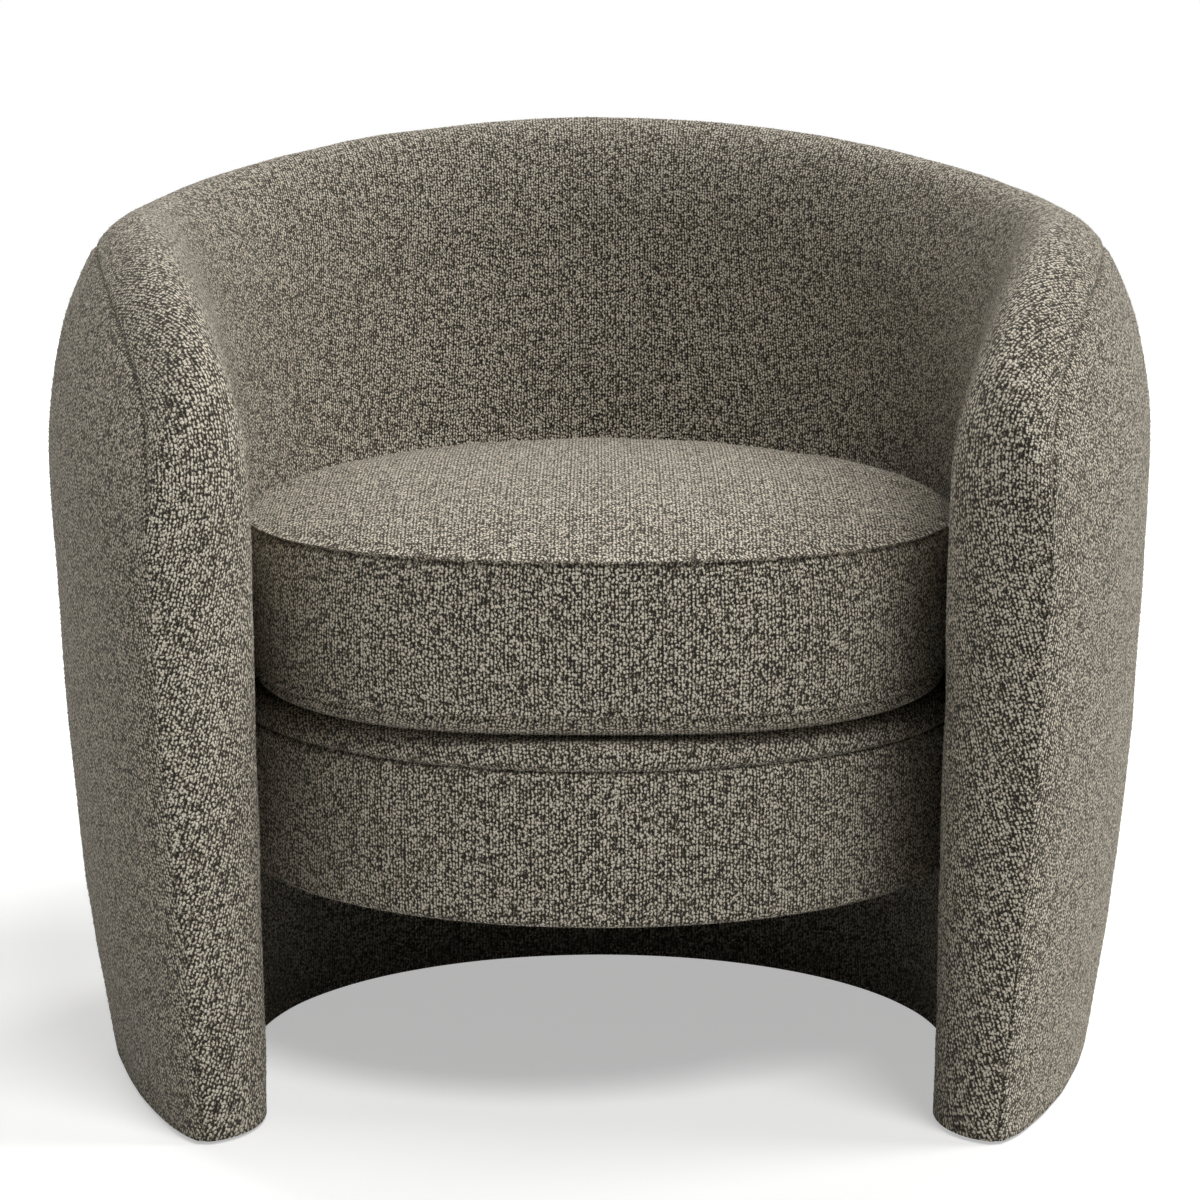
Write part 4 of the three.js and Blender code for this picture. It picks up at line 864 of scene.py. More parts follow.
# %% Border of the drum
def border_section():
    """Closed cross-section of the band: distance inwards from its face, and height."""
    face = [(0.0034, DRUM_SEAM), (0.0014, DRUM_SEAM - 0.0025), (0.0004, DRUM_SEAM - 0.006)]
    face += [(0, z) for z in np.linspace(DRUM_SEAM - 0.011, DRUM_BOTTOM + DRUM_EDGE + 0.004, 20)]
    for angle in np.linspace(0, np.pi / 2, 8):
        face.append((DRUM_EDGE * (1 - math.cos(angle)), DRUM_BOTTOM + DRUM_EDGE * (1 - math.sin(angle))))
    face += [(d, DRUM_BOTTOM - 0.0003) for d in np.linspace(0.010, DRUM_TURN, 5)]
    back = [(DRUM_TURN, DRUM_BOTTOM + 0.0025), (BORDER_THICK + 0.002, DRUM_BOTTOM + 0.0030)]
    back += [(BORDER_THICK, DRUM_BOTTOM + 0.008), (BORDER_THICK, DRUM_SEAM - 0.006)]
    back.append((0.006, DRUM_SEAM - 0.0005))
    return np.array(face + back)


# Heights of the band's soft waves and of its puckers, how close the puckers are, and the depth below
# the seam in which they fade.
DRUM_WAVE, DRUM_PUCKER, DRUM_PUCKERS, DRUM_FADE = 0.0010, 0.0005, 61, 0.012


def drum_border(name):
    """The band: its cross-section carried round the front, with soft waves and puckers at the seam."""
    section = border_section()
    columns, rows = SEAT_COLUMNS, len(section)
    depth, z = section[None, :, 0], section[None, :, 1]
    turn = np.linspace(-DRUM_HALF_TURN, DRUM_HALF_TURN, columns)[:, None]
    share = np.clip((z - DRUM_BOTTOM) / (DRUM_SEAM - DRUM_BOTTOM), 0, 1)
    face = depth < 0.0016
    flat = np.stack([turn * SEAT_RADIUS + 0 * z, z + 0 * turn, 0 * turn + 0 * z], -1).reshape(-1, 3)
    wave = uneven(flat, 0.05, 9.0).reshape(columns, rows)
    pucker = np.sin(turn * DRUM_PUCKERS + 2 * wave) * np.exp(-(DRUM_SEAM - z) / DRUM_FADE)
    relief = (DRUM_WAVE * wave + DRUM_PUCKER * pucker) * np.sin(np.pi * share) ** 0.3
    radius = SEAT_RADIUS - depth + np.where(face, relief, 0)
    limit = inner_half(z) - WALL_CLEAR
    x = np.clip(radius * np.sin(turn), -limit, limit)
    grid = np.stack([x, SEAT_CENTRE - radius * np.cos(turn), z + 0 * x], -1)
    i = np.arange(columns - 1)
    joint = np.stack([i * rows + rows - 1, (i + 1) * rows + rows - 1, (i + 1) * rows, i * rows], -1)
    faces = np.concatenate([grid_faces(columns, rows), joint]).tolist()
    faces += [list(range(rows))[::-1], [(columns - 1) * rows + k for k in range(rows)]]
    down = arc_lengths(section[None], 1)
    pairs = np.stack([turn * SEAT_RADIUS + 0 * down, DRUM_SEAM - down + 0 * turn], -1).reshape(-1, 2)
    corners = np.concatenate([pairs[f] for f in faces])
    piece = new_piece(name, to_row(grid.reshape(-1, 3)), faces, corners)
    outward(piece)
    # Darker at the drum's seam: painted shade in the groove below the deck's edge, and partly loops pressed
    # down.
    mark_seam_press_and_shade(piece, 0.2 * bell(DRUM_SEAM - grid[..., 2], 0.0020))
    return piece


border = drum_border("drum_border")
border.data.materials.append(looped_knit)
print("border:", len(border.data.polygons), "faces")


# %% Deck under the cushion
DECK_RINGS = (0.03, 0.05, 0.08, 0.12, 0.17, 0.21, 0.235)  # how far in from the edge; the pole comes after


def seat_deck(name):
    """A pad of rings: flat below, rounded over the edge and flat on top."""
    turn = np.linspace(0, 2 * np.pi, SEAT_COLUMNS, endpoint=False)[:, None]
    angle = np.linspace(0, np.pi / 2, 10)
    side = [(0.10, DECK_BOTTOM), (0.006, DECK_BOTTOM)]
    side += [(0.0034, DRUM_SEAM + 0.0004), (0.0010, DRUM_SEAM + 0.0026)]
    edge = [(DECK_EDGE * (1 - c), DECK_TOP - DECK_EDGE * (1 - s))
            for c, s in zip(np.cos(angle), np.sin(angle))]
    section = np.array(side + edge + [(inwards, DECK_TOP) for inwards in DECK_RINGS])
    reach = drum_reach(turn, 0.27) - section[None, :, 0]
    x, y = reach * np.cos(turn), SEAT_CENTRE + reach * np.sin(turn)
    rings = np.stack([x, y, section[None, :, 1] + 0 * x], -1)
    return ring_body(name, rings, (0, SEAT_CENTRE, DECK_BOTTOM), (0, SEAT_CENTRE, DECK_TOP))


deck = seat_deck("seat_deck")
deck.data.materials.append(looped_knit)
print("deck:", len(deck.data.polygons), "faces")

# %% [markdown]
# ## Box cushion
# A box cushion has a top and a bottom panel sewn to a band. The fill pushes the panels into a crown and
# the band into a slight belly, while the two seams stay tight rings. A cloth simulation with pressure
# finds that swelling: a coarse copy is remeshed, its seams are pinned, and it is blown up for twenty
# frames. The movement is then carried over to a fine mesh of rings, which keeps the seams sharp and
# the cloth's coordinates exact, as a remeshed skin could not. Where panel and band are sewn, both
# layers turn in and leave a slim lip with a groove beside it; close rows of points make room for it.

# %% Shape of the cushion
# The crown from its seam to its middle: the share of the reach that is left, and the share of the rise
# that is gained. LOW and LOW_FALL say the same of the underside, down to the deck.
CROWN = [(0, 1), (0.5, 0.993), (1, 0.974), (1.5, 0.946), (2, 0.90), (3, 0.76), (4, 0.45), (5, 0)]
CROWN_RISE = [(0, 0), (0.5, 0.13), (1, 0.27), (1.5, 0.40), (2, 0.53), (3, 0.76), (4, 0.95), (5, 1)]
CORNERS = (2.5, 2.3)  # at the lower and upper seam; two is round, more fills the corners beside the arms
FRONT_EASE = 0.6  # in front the crown leaves its seam more gently than beside the tight arms
LOW = [(0, 1), (1, 0.994), (2, 0.974), (3, 0.92), (3.4, 0.84), (4, 0)]
LOW_FALL = [(0, 0), (1, 0.33), (2, 0.66), (3, 0.93), (3.4, 1), (4, 1)]
OVERHANG = 0.002  # how far the cushion stands out over the drum in front
ZIP_LEVEL, ZIP_SLOT, ZIP_DEPTH = 0.357, 0.006, 0.0026  # height, half width of the slot, and its depth
# The zip lies on one circle, which fits the wall behind it, so that its slider can run round.
ZIP_HALF_TURN = 0.22 * math.pi
ZIP_BEND = inner_half(ZIP_LEVEL) ** 2 / (inner_back(ZIP_LEVEL) - inner_widest(ZIP_LEVEL))
ZIP_CENTRE = inner_back(ZIP_LEVEL) - ZIP_BEND
ZIP_RADIUS = ZIP_BEND - CUSHION_GAP - 0.009


def cushion_reach(turn, z):
    """Distance from the seat's centre to the cushion's side: its own curve in front, the wall's behind."""
    side = wall_ray(0.0, z) - CUSHION_GAP
    front = SEAT_RADIUS + OVERHANG
    back = wall_ray(turn, z) - CUSHION_GAP
    corner = mix(*CORNERS, (z - LOW_SEAM) / (TOP_SEAM - LOW_SEAM))
    fore = (np.abs(np.cos(turn)) / side) ** corner + (np.abs(np.sin(turn)) / front) ** corner
    return np.where(np.sin(turn) >= 0, back, fore ** (-1 / corner))


def band_heights(fine):
    """Heights of the band's rows; the fine list has close rows at the seams and at the zip slot."""
    if not fine:
        return np.linspace(LOW_SEAM, TOP_SEAM, 16)[1:-1]
    rows = np.linspace(LOW_SEAM + 0.008, TOP_SEAM - 0.008, 30)
    rows = rows[np.abs(rows - ZIP_LEVEL) > ZIP_SLOT + 0.0022]
    slot = ZIP_LEVEL + np.array([-0.0072, -0.0064, -0.0058, -0.003, 0, 0.003, 0.0058, 0.0064, 0.0072])
    beside = np.array([0.0009, 0.0018, 0.0028, 0.004, 0.0058])
    return np.sort(np.concatenate([rows, slot, LOW_SEAM + beside, TOP_SEAM - beside]))


def cushion_rings(columns, crown=1.0, inset=0.0, fine=False):
    """Rings of the cushion: in under it from the pole, up the band, and in over the crown."""
    turn = np.linspace(0, 2 * np.pi, columns, endpoint=False)[:, None]
    low_t, top_t = np.linspace(3.9, 0, 12), np.linspace(0, 4.9, 26)
    if fine:
        low_t = np.concatenate([np.linspace(3.9, 0.3, 22), [0.2, 0.12, 0.06, 0]])
        top_t = np.concatenate([[0, 0.06, 0.13, 0.21, 0.3], np.linspace(0.4, 4.9, 50)])
    band = band_heights(fine)
    share = np.concatenate([along(LOW, low_t), np.ones(len(band)), along(CROWN, top_t)])[None, :]
    low_z = mix(LOW_SEAM, CUSHION_BOTTOM, along(LOW_FALL, low_t)) + 0 * turn
    ease = 1 + FRONT_EASE * np.sqrt(np.clip(-np.sin(turn), 0, 1))
    top_z = mix(TOP_SEAM, mix(TOP_SEAM, CROWN_TOP, crown), along(CROWN_RISE, top_t) ** ease)
    z = np.concatenate([low_z, band + 0 * turn, top_z], axis=1)
    level = np.clip(z, LOW_SEAM, TOP_SEAM)
    belly = BULGE * (1 - (2 * (level - LOW_SEAM) / (TOP_SEAM - LOW_SEAM) - 1) ** 2)
    reach = (cushion_reach(turn, level) - BULGE + belly - inset) * share
    x, y = reach * np.cos(turn), SEAT_CENTRE + reach * np.sin(turn)
    return np.stack([x, y, z], -1)


def cushion_body(name, **sizes):
    """The rings as a closed body; between the seam rows the cloth is a band, outside them two panels."""
    rings = cushion_rings(**sizes)
    heights = rings[0, :, 2]
    low_row, top_row = np.argmin(np.abs(heights - LOW_SEAM)), np.argmin(np.abs(heights - TOP_SEAM))
    poles = [(0, SEAT_CENTRE, heights[0]), (0, SEAT_CENTRE, heights[-1])]
    return ring_body(name, rings, *poles, low_row, top_row)


def points_of(mesh):
    """The places of a mesh as one array."""
    flat = np.empty(len(mesh.vertices) * 3)
    mesh.vertices.foreach_get("co", flat)
    return flat.reshape(-1, 3)


def round_seat(points):
    """Turn and distance of every point round the upright axis of the seat."""
    x, y = points[:, 0], points[:, 1] - ROW_CENTRE
    return np.arctan2(y, x), np.hypot(x, y)


# %% Blow up a coarse copy
# Size of the remeshed faces, pressure of the fill, frames, the furthest that a point may move, and how
# far the crown stands above the one of the solids.
VOXEL, PRESSURE, FRAMES, CAP, PUFF = 0.0055, 4.0, 20, 0.006, 0.005
MID_BAND, SIDE_SLACK = 0.36, 0.0012  # height between the seams; how far the sides may stand out further
UNFILLED = dict(crown=0.8, inset=0.001)  # before it is blown up the cushion is flatter and slimmer


def blow_up():
    """Cloth simulation with pinned seams; returns the places before and the movement."""
    copy = cushion_body("cushion_copy", columns=CUSHION_COLUMNS // 3, **UNFILLED)
    remesh = copy.modifiers.new("remesh", "REMESH")
    remesh.mode, remesh.voxel_size = "VOXEL", VOXEL
    graph = bpy.context.evaluated_depsgraph_get()
    mesh = bpy.data.meshes.new_from_object(copy.evaluated_get(graph))
    copy.modifiers.clear()
    copy.data = mesh
    before = points_of(mesh)
    turn, radius = round_seat(before)
    seam = np.minimum(np.abs(before[:, 2] - TOP_SEAM), np.abs(before[:, 2] - LOW_SEAM)) < 0.004
    outer = radius > 0.93 * np.interp(turn, *rim_of_seam())
    pinned = (seam & outer) | (before[:, 2] < CUSHION_BOTTOM + 0.003)
    group = copy.vertex_groups.new(name="pinned")
    group.add(np.flatnonzero(pinned).tolist(), 1.0, "REPLACE")
    cloth = copy.modifiers.new("cloth", "CLOTH")
    cloth.settings.quality = 4
    cloth.settings.tension_stiffness = cloth.settings.compression_stiffness = 25
    cloth.settings.bending_stiffness = 4
    cloth.settings.use_pressure = True
    cloth.settings.uniform_pressure_force = PRESSURE
    cloth.settings.effector_weights.gravity = 0
    cloth.settings.vertex_group_mass = "pinned"
    cloth.point_cache.frame_start, cloth.point_cache.frame_end = 1, FRAMES
    for number in range(1, FRAMES + 1):
        scene.frame_set(number)
    graph = bpy.context.evaluated_depsgraph_get()
    move = points_of(copy.evaluated_get(graph).data) - before
    length = np.linalg.norm(move, axis=1, keepdims=True)
    move *= np.minimum(1, CAP / np.maximum(length, 1e-9))
    copy.modifiers.clear()
    bpy.data.objects.remove(copy)
    scene.frame_set(1)
    print("simulated", len(before), "points, moved up to", round(float(length.max()) * 1000, 1), "mm")
    return before, move


def rim_of_seam():
    """Reach of the seams for every direction, as two lists, taken between both."""
    turn = np.linspace(-np.pi, np.pi, 181)
    return turn, cushion_reach(turn, MID_BAND) - BULGE


def carry_over(points, before, move):
    """Movement at each point as the mean of the nearest simulated points."""
    tree = KDTree(len(before))
    for k, p in enumerate(before):
        tree.insert(p, k)
    tree.balance()
    carried = np.zeros_like(points)
    for k, p in enumerate(points):
        near = tree.find_n(p, 8)
        weight = np.array([1 / (distance + 0.002) for _, _, distance in near])
        carried[k] = weight @ move[[index for _, index, _ in near]] / weight.sum()
    return carried


# %% Make the cushion
def fit_crown(points, start):
    """Scales the swelling to the crown's height and keeps clear of the wall and the deck."""
    top = start[:, 2] > TOP_SEAM
    rise = (CROWN_TOP + PUFF - TOP_SEAM) / (points[top, 2].max() - TOP_SEAM)
    points[top, 2] = TOP_SEAM + (points[top, 2] - TOP_SEAM) * rise
    turn, radius = round_seat(points)
    limit = cushion_reach(turn, np.clip(points[:, 2], LOW_SEAM, TOP_SEAM)) + SIDE_SLACK
    shrink = np.minimum(1, limit / np.maximum(radius, 1e-9))
    points[:, 0] *= shrink
    points[:, 1] = ROW_CENTRE + (points[:, 1] - ROW_CENTRE) * shrink
    points[:, 2] = np.maximum(points[:, 2], CUSHION_BOTTOM)
    return points


# Depths of the two seam lips, of the soft waves and of the puckers; how close these are and how far
# from the seam they fade.
TOP_LIP, LOW_LIP, BAND_WAVE, CROWN_WAVE, BAND_PUCKER = 0.0021, 0.0014, 0.0010, 0.0012, 0.0007
BAND_PUCKERS, BAND_FADE = 120, 0.010


def seam_relief(distance, lip):
    """A slim lip along a seam, with a groove below it and a shallower one above."""
    below, above = bell(distance + 0.0032, 0.0016), bell(distance - 0.0036, 0.0020)
    return lip * (bell(distance, 0.0015) - below - 0.5 * above)


def hand_sewn(points):
    """Seam lips, short puckers beside the top seam, soft unevenness, and the slot of the zip."""
    turn, _ = round_seat(points)
    out = np.stack([np.cos(turn), np.sin(turn)], -1)
    z = points[:, 2]
    wave = uneven(points, 0.07, 3.0) + 0.5 * uneven(points, 0.028, 7.0)
    pucker = np.sin(turn * BAND_PUCKERS + 5 * wave) * np.exp(-np.abs(z - TOP_SEAM) / BAND_FADE)
    band = (z > LOW_SEAM + 0.003) & (z < TOP_SEAM - 0.003)
    above = z > TOP_SEAM + 0.001
    relief = seam_relief(z - TOP_SEAM, TOP_LIP) + seam_relief(z - LOW_SEAM, LOW_LIP)
    points[:, :2] += out * (np.where(band, BAND_WAVE * wave + BAND_PUCKER * pucker, 0) + relief)[:, None]
    points[:, 2] += np.where(above, CROWN_WAVE * wave * np.clip((z - TOP_SEAM) / 0.01, 0, 1), 0)
    behind = np.arctan2(points[:, 1] - (ZIP_CENTRE - DEPTH / 2), points[:, 0])
    slot = (np.abs(z - ZIP_LEVEL) < ZIP_SLOT) & (np.abs(behind - np.pi / 2) < ZIP_HALF_TURN)
    points[slot, 0] = (ZIP_RADIUS - ZIP_DEPTH) * np.cos(behind[slot])
    points[slot, 1] = ZIP_CENTRE - DEPTH / 2 + (ZIP_RADIUS - ZIP_DEPTH) * np.sin(behind[slot])
    return points


before, move = blow_up()
cushion = cushion_body("seat_cushion", columns=CUSHION_COLUMNS, fine=True, **UNFILLED)
start = points_of(cushion.data)
shaped = fit_crown(start + carry_over(start, before, move), start)
shaped = hand_sewn(shaped)
cushion.data.vertices.foreach_set("co", shaped.ravel())
cushion.data.update()
# Darker in the groove 3 mm below each seam lip: painted shade there, and partly loops pressed down; more
# below the top seam.
seams = ((TOP_SEAM, 0.45), (LOW_SEAM, 0.30))
mark_seam_press_and_shade(cushion, sum(shade * bell(shaped[:, 2] - z + 0.0030, 0.0015) for z, shade in seams))
cushion.data.materials.append(looped_knit)
crown_height = round(float(shaped[:, 2].max()) * 1000, 1)
print("cushion:", len(cushion.data.polygons), "faces, crown at", crown_height, "mm")


# %% [markdown]
# ## Lining, zip and staples
# Under the seat and under the foot a black non-woven cloth closes the frame: flat, and stapled all
# round. The cushion's zip lies in a slot at the back, a woven tape with a coil of plastic teeth.

# %% Lining under the foot and under the seat
LINING, FOOT_LEVEL, SEAT_LEVEL = 0.0008, 0.0034, 0.1475  # thickness, and heights of the two undersides
RIM_POINTS = 160
places = place_list(50, 50)


def foot_edges(inset):
    """Inner and outer edge of the wall's footprint, moved in by the inset."""
    ix, iy, ox, oy = wall_plan(places, np.full(len(places), 0.0038), inset)
    return np.stack([ix, iy], -1), np.stack([ox, oy], -1)


inner_edge, outer_edge = foot_edges(0.0035)
foot = mix(outer_edge[:, None], inner_edge[:, None], np.linspace(0, 1, 7)[None, :, None])
level = np.full(foot.shape[:2] + (1,), FOOT_LEVEL)
near, far = np.concatenate([foot, level], -1), np.concatenate([foot, level + LINING], -1)
base_lining = closed_layer("foot_lining", near, far, foot)
turn = np.linspace(0, 2 * np.pi, RIM_POINTS, endpoint=False)
reach = np.minimum(SEAT_RADIUS - DRUM_TURN - 0.0015, drum_reach(turn, SEAT_LEVEL, 0.0025))
rim = np.stack([reach * np.cos(turn), reach * np.sin(turn)], -1)
low, high = SEAT_LEVEL, SEAT_LEVEL + LINING
rings = [np.column_stack([share * rim + [0, SEAT_CENTRE], np.full(RIM_POINTS, z)])
         for share, z in ((0.5, low), (1, low), (1, high), (0.5, high))]
poles = [(0, SEAT_CENTRE, low), (0, SEAT_CENTRE, high)]
dust_cover = ring_body("seat_dust_cover", np.stack(rings, 1), *poles)
for piece in (base_lining, dust_cover):
    piece.data.materials.append(black_lining)
print("linings:", base_lining.name, "and", dust_cover.name)

# %% Zip tape
TAPE_HALF, TAPE_FRONT, TAPE_BACK = 0.0098, 0.0017, 0.0024  # half its width; how deep its two faces lie
TAPE_SHARE, TEETH_SHARE = 0.985, 0.968  # how much of the slot's length the tape and its teeth take up


def round_zip(turn, up, radius):
    """Points on a cylinder round the zip's centre, for all turns and all heights beside the zip."""
    x, y = radius * np.cos(turn) + 0 * up, ZIP_CENTRE + radius * np.sin(turn) + 0 * up
    return np.stack([x, y, ZIP_LEVEL + up + 0 * turn], -1)


turn = math.pi / 2 + np.linspace(-1, 1, 80)[:, None] * ZIP_HALF_TURN * TAPE_SHARE
up = np.linspace(-TAPE_HALF, TAPE_HALF, 9)[None, :]
tape_pairs = np.stack([turn * ZIP_RADIUS + 0 * up, up + 0 * turn], -1)
near, far = round_zip(turn, up, ZIP_RADIUS - TAPE_FRONT), round_zip(turn, up, ZIP_RADIUS - TAPE_BACK)
zip_tape = closed_layer("cushion_zip_tape", near, far, tape_pairs)
zip_tape.data.materials.append(tape_cloth)
zip_tape["flat_size"] = np.ptp(tape_pairs.reshape(-1, 2), 0).tolist()
zip_tape["flat_area"] = math.prod(zip_tape["flat_size"])
print("zip circle:", round(float(ZIP_RADIUS) * 1000, 1), "mm radius")

# %% [markdown]
# ### What repeats along a path
# The coil's teeth and the staples are one small shape set many times along a line. Geometry Nodes does
# that: the line is resampled at the spacing, an instance stands on every point, turned along the line.

# %% Geometry Nodes along a line
def new_node_group(name, inputs):
    """An empty Geometry Nodes group with named inputs and one result."""
    tree = bpy.data.node_groups.new(name, "GeometryNodeTree")
    for socket, kind in inputs.items():
        tree.interface.new_socket(socket, in_out="INPUT", socket_type="NodeSocket" + kind)
    tree.interface.new_socket("Result", in_out="OUTPUT", socket_type="NodeSocketGeometry")
    return tree


def along_line(name, path, shape, spacing, material, closed=False):
    """Repeats a small shape along a path and returns one plain mesh."""
    tree = new_node_group(name, {"Line": "Geometry", "Spacing": "Float"})
    given = add_node(tree, "NodeGroupInput")
    curve = add_node(tree, "GeometryNodeMeshToCurve", inputs={"Mesh": (given, "Line")})
    spread = add_node(tree, "GeometryNodeResampleCurve", {"mode": "LENGTH"}, {
        "Curve": (curve, "Curve"), "Length": (given, "Spacing")})
    points = add_node(tree, "GeometryNodeCurveToPoints", {"mode": "EVALUATED"}, {
        "Curve": (spread, "Curve")})
    turned = add_node(tree, "FunctionNodeAlignRotationToVector", {"axis": "Y", "pivot_axis": "Z"}, {
        "Vector": (points, "Tangent")})
    one = add_node(tree, "GeometryNodeObjectInfo", inputs={"Object": shape})
    stand = add_node(tree, "GeometryNodeInstanceOnPoints", inputs={
        "Points": (points, "Points"), "Instance": (one, "Geometry"), "Rotation": (turned, "Rotation")})
    real = add_node(tree, "GeometryNodeRealizeInstances", inputs={"Geometry": (stand, "Instances")})
    finish = add_node(tree, "GeometryNodeSetMaterial", inputs={
        "Geometry": (real, "Geometry"), "Material": material})
    out = add_node(tree, "NodeGroupOutput")
    tree.links.new(finish.outputs["Geometry"], out.inputs["Result"])
    count = len(path)
    line = bpy.data.meshes.new(name)
    edges = [(k, k + 1) for k in range(count - 1)] + ([(count - 1, 0)] if closed else [])
    line.from_pydata([tuple(p) for p in path], edges, [])
    holder = bpy.data.objects.new(name, line)
    scene.collection.objects.link(holder)
    return bake_nodes(holder, tree, {"Spacing": spacing})


def bake_nodes(holder, tree, values):
    """Runs the node tree on the object and keeps its result as a plain mesh."""
    modifier = holder.modifiers.new(tree.name, "NODES")
    modifier.node_group = tree
    sockets = {item.name: item.identifier for item in tree.interface.items_tree if item.in_out == "INPUT"}
    for key, value in values.items():
        modifier[sockets[key]] = value
    graph = bpy.context.evaluated_depsgraph_get()
    mesh = bpy.data.meshes.new_from_object(holder.evaluated_get(graph))
    holder.modifiers.clear()
    holder.data = mesh
    print(holder.name, len(mesh.polygons), "faces")
    return holder


def small_shape(name, points, faces):
    """A shape to be repeated; it is taken away once it has been used."""
    shape = new_piece(name, points, faces, smooth=False)
    outward(shape)
    return shape


# %% Teeth of the zip
TOOTH_SPACING, TOOTH_DEPTH, TOOTH_WIDTH, TOOTH_HALF, TOOTH_BOW = 0.0014, 0.0009, 0.0008, 0.0028, 0.0002
# A tooth is a short bowed rod across the tape: eight points round it, at four places along it.
tooth_ring = [(0.5, 0.0), (0.36, 0.3), (0.0, 0.42), (-0.36, 0.3),
              (-0.5, 0.0), (-0.36, -0.3), (0.0, -0.42), (0.36, -0.3)]
tooth_points = [(TOOTH_DEPTH * out + TOOTH_BOW * bow, TOOTH_WIDTH * aside, TOOTH_HALF * place)
                for place, bow in ((-1, 0), (-0.35, 1), (0.35, 1), (1, 0)) for aside, out in tooth_ring]
tooth_faces = grid_faces(4, 8).tolist() + [(k * 8 + 7, k * 8 + 15, k * 8 + 8, k * 8) for k in range(3)]
tooth_faces += [list(range(8)), list(range(24, 32))]
tooth = small_shape("zip_tooth", tooth_points, tooth_faces)
turn = math.pi / 2 + np.linspace(-1, 1, 120) * ZIP_HALF_TURN * TEETH_SHARE
chain_path = to_row(round_zip(turn, 0, ZIP_RADIUS - 0.0008))
zip_teeth = along_line("cushion_zip_teeth", chain_path, tooth, TOOTH_SPACING, coil_plastic)
bpy.data.objects.remove(tooth)

# %% Staples of the lining
# Opposite corners of the crossbar that is seen, and of the two legs that start into the board.
STAPLE_BARS = (((-0.0003, -0.005, -0.0006), (0.0003, 0.005, 0)),
               ((-0.0003, -0.005, 0), (0.0003, -0.0044, 0.0009)),
               ((-0.0003, 0.0044, 0), (0.0003, 0.005, 0.0009)))
BOX_SIDES = [(0, 1, 3, 2), (4, 6, 7, 5), (0, 4, 5, 1), (2, 3, 7, 6), (0, 2, 6, 4), (1, 5, 7, 3)]
FOOT_STAPLES, SEAT_STAPLES = 0.034, 0.030  # metres from staple to staple
staple_points, staple_faces = [], []
for low, high in STAPLE_BARS:
    staple_faces += [tuple(k + len(staple_points) for k in side) for side in BOX_SIDES]
    staple_points += itertools.product(*zip(low, high))
staple = small_shape("staple", staple_points, staple_faces)
inner_edge, outer_edge = foot_edges(0.0150)
foot_path = np.concatenate([outer_edge, inner_edge[::-1]])
foot_path = to_row(np.column_stack([foot_path, np.full(len(foot_path), FOOT_LEVEL - 0.0001)]))
foot_staples = along_line("foot_staples", foot_path, staple, FOOT_STAPLES, zinc_plate, closed=True)
seat_path = np.column_stack([0.965 * rim + [0, ROW_CENTRE], np.full(RIM_POINTS, SEAT_LEVEL - 0.0001)])
seat_staples = along_line("seat_staples", seat_path, staple, SEAT_STAPLES, zinc_plate, closed=True)
bpy.data.objects.remove(staple)

# %% [markdown]
# ## Standing loops
# Seen edge on, looped cloth has no sharp outline: single loops of the pale yarn stand up from it. Bump
# can't change an outline, so Geometry Nodes scatters small eight-sided nubs over every cover, with
# a fixed seed, random turns and sizes, and a random shade for each.

# %% Yarn of the loops
def loop_yarn(name):
    """The pale yarn alone, matt and slightly fuzzy: every nub has the shade that the scatter stored."""
    material, tree, output = new_material(name)
    shade = add_node(tree, "ShaderNodeAttribute", {"attribute_name": "shade"})
    place = add_node(tree, "ShaderNodeTexCoord")
    fibre = add_node(tree, "ShaderNodeTexNoise", inputs={"Vector": (place, "Object"), "Scale": 900.0})
    both = add_node(tree, "ShaderNodeMath", {"operation": "MULTIPLY_ADD"}, {
        0: (fibre, "Fac"), 1: 0.4, 2: (shade, "Fac")})
    ramp = add_node(tree, "ShaderNodeValToRGB", inputs={"Fac": (both, "Value")}, stops=[
        (0.15, "#6b6358"), (0.6, "#b8ad9b"), (1.0, "#f2eada")])
    shader = add_node(tree, "ShaderNodeBsdfPrincipled", inputs={
        "Base Color": (ramp, "Color"), "Roughness": 0.95, "Sheen Weight": 0.25, "Sheen Roughness": 0.6,
        "Sheen Tint": to_linear("#d8cdb8"), "Specular IOR Level": 0.25})
    tree.links.new(shader.outputs["BSDF"], output.inputs["Surface"])
    return material


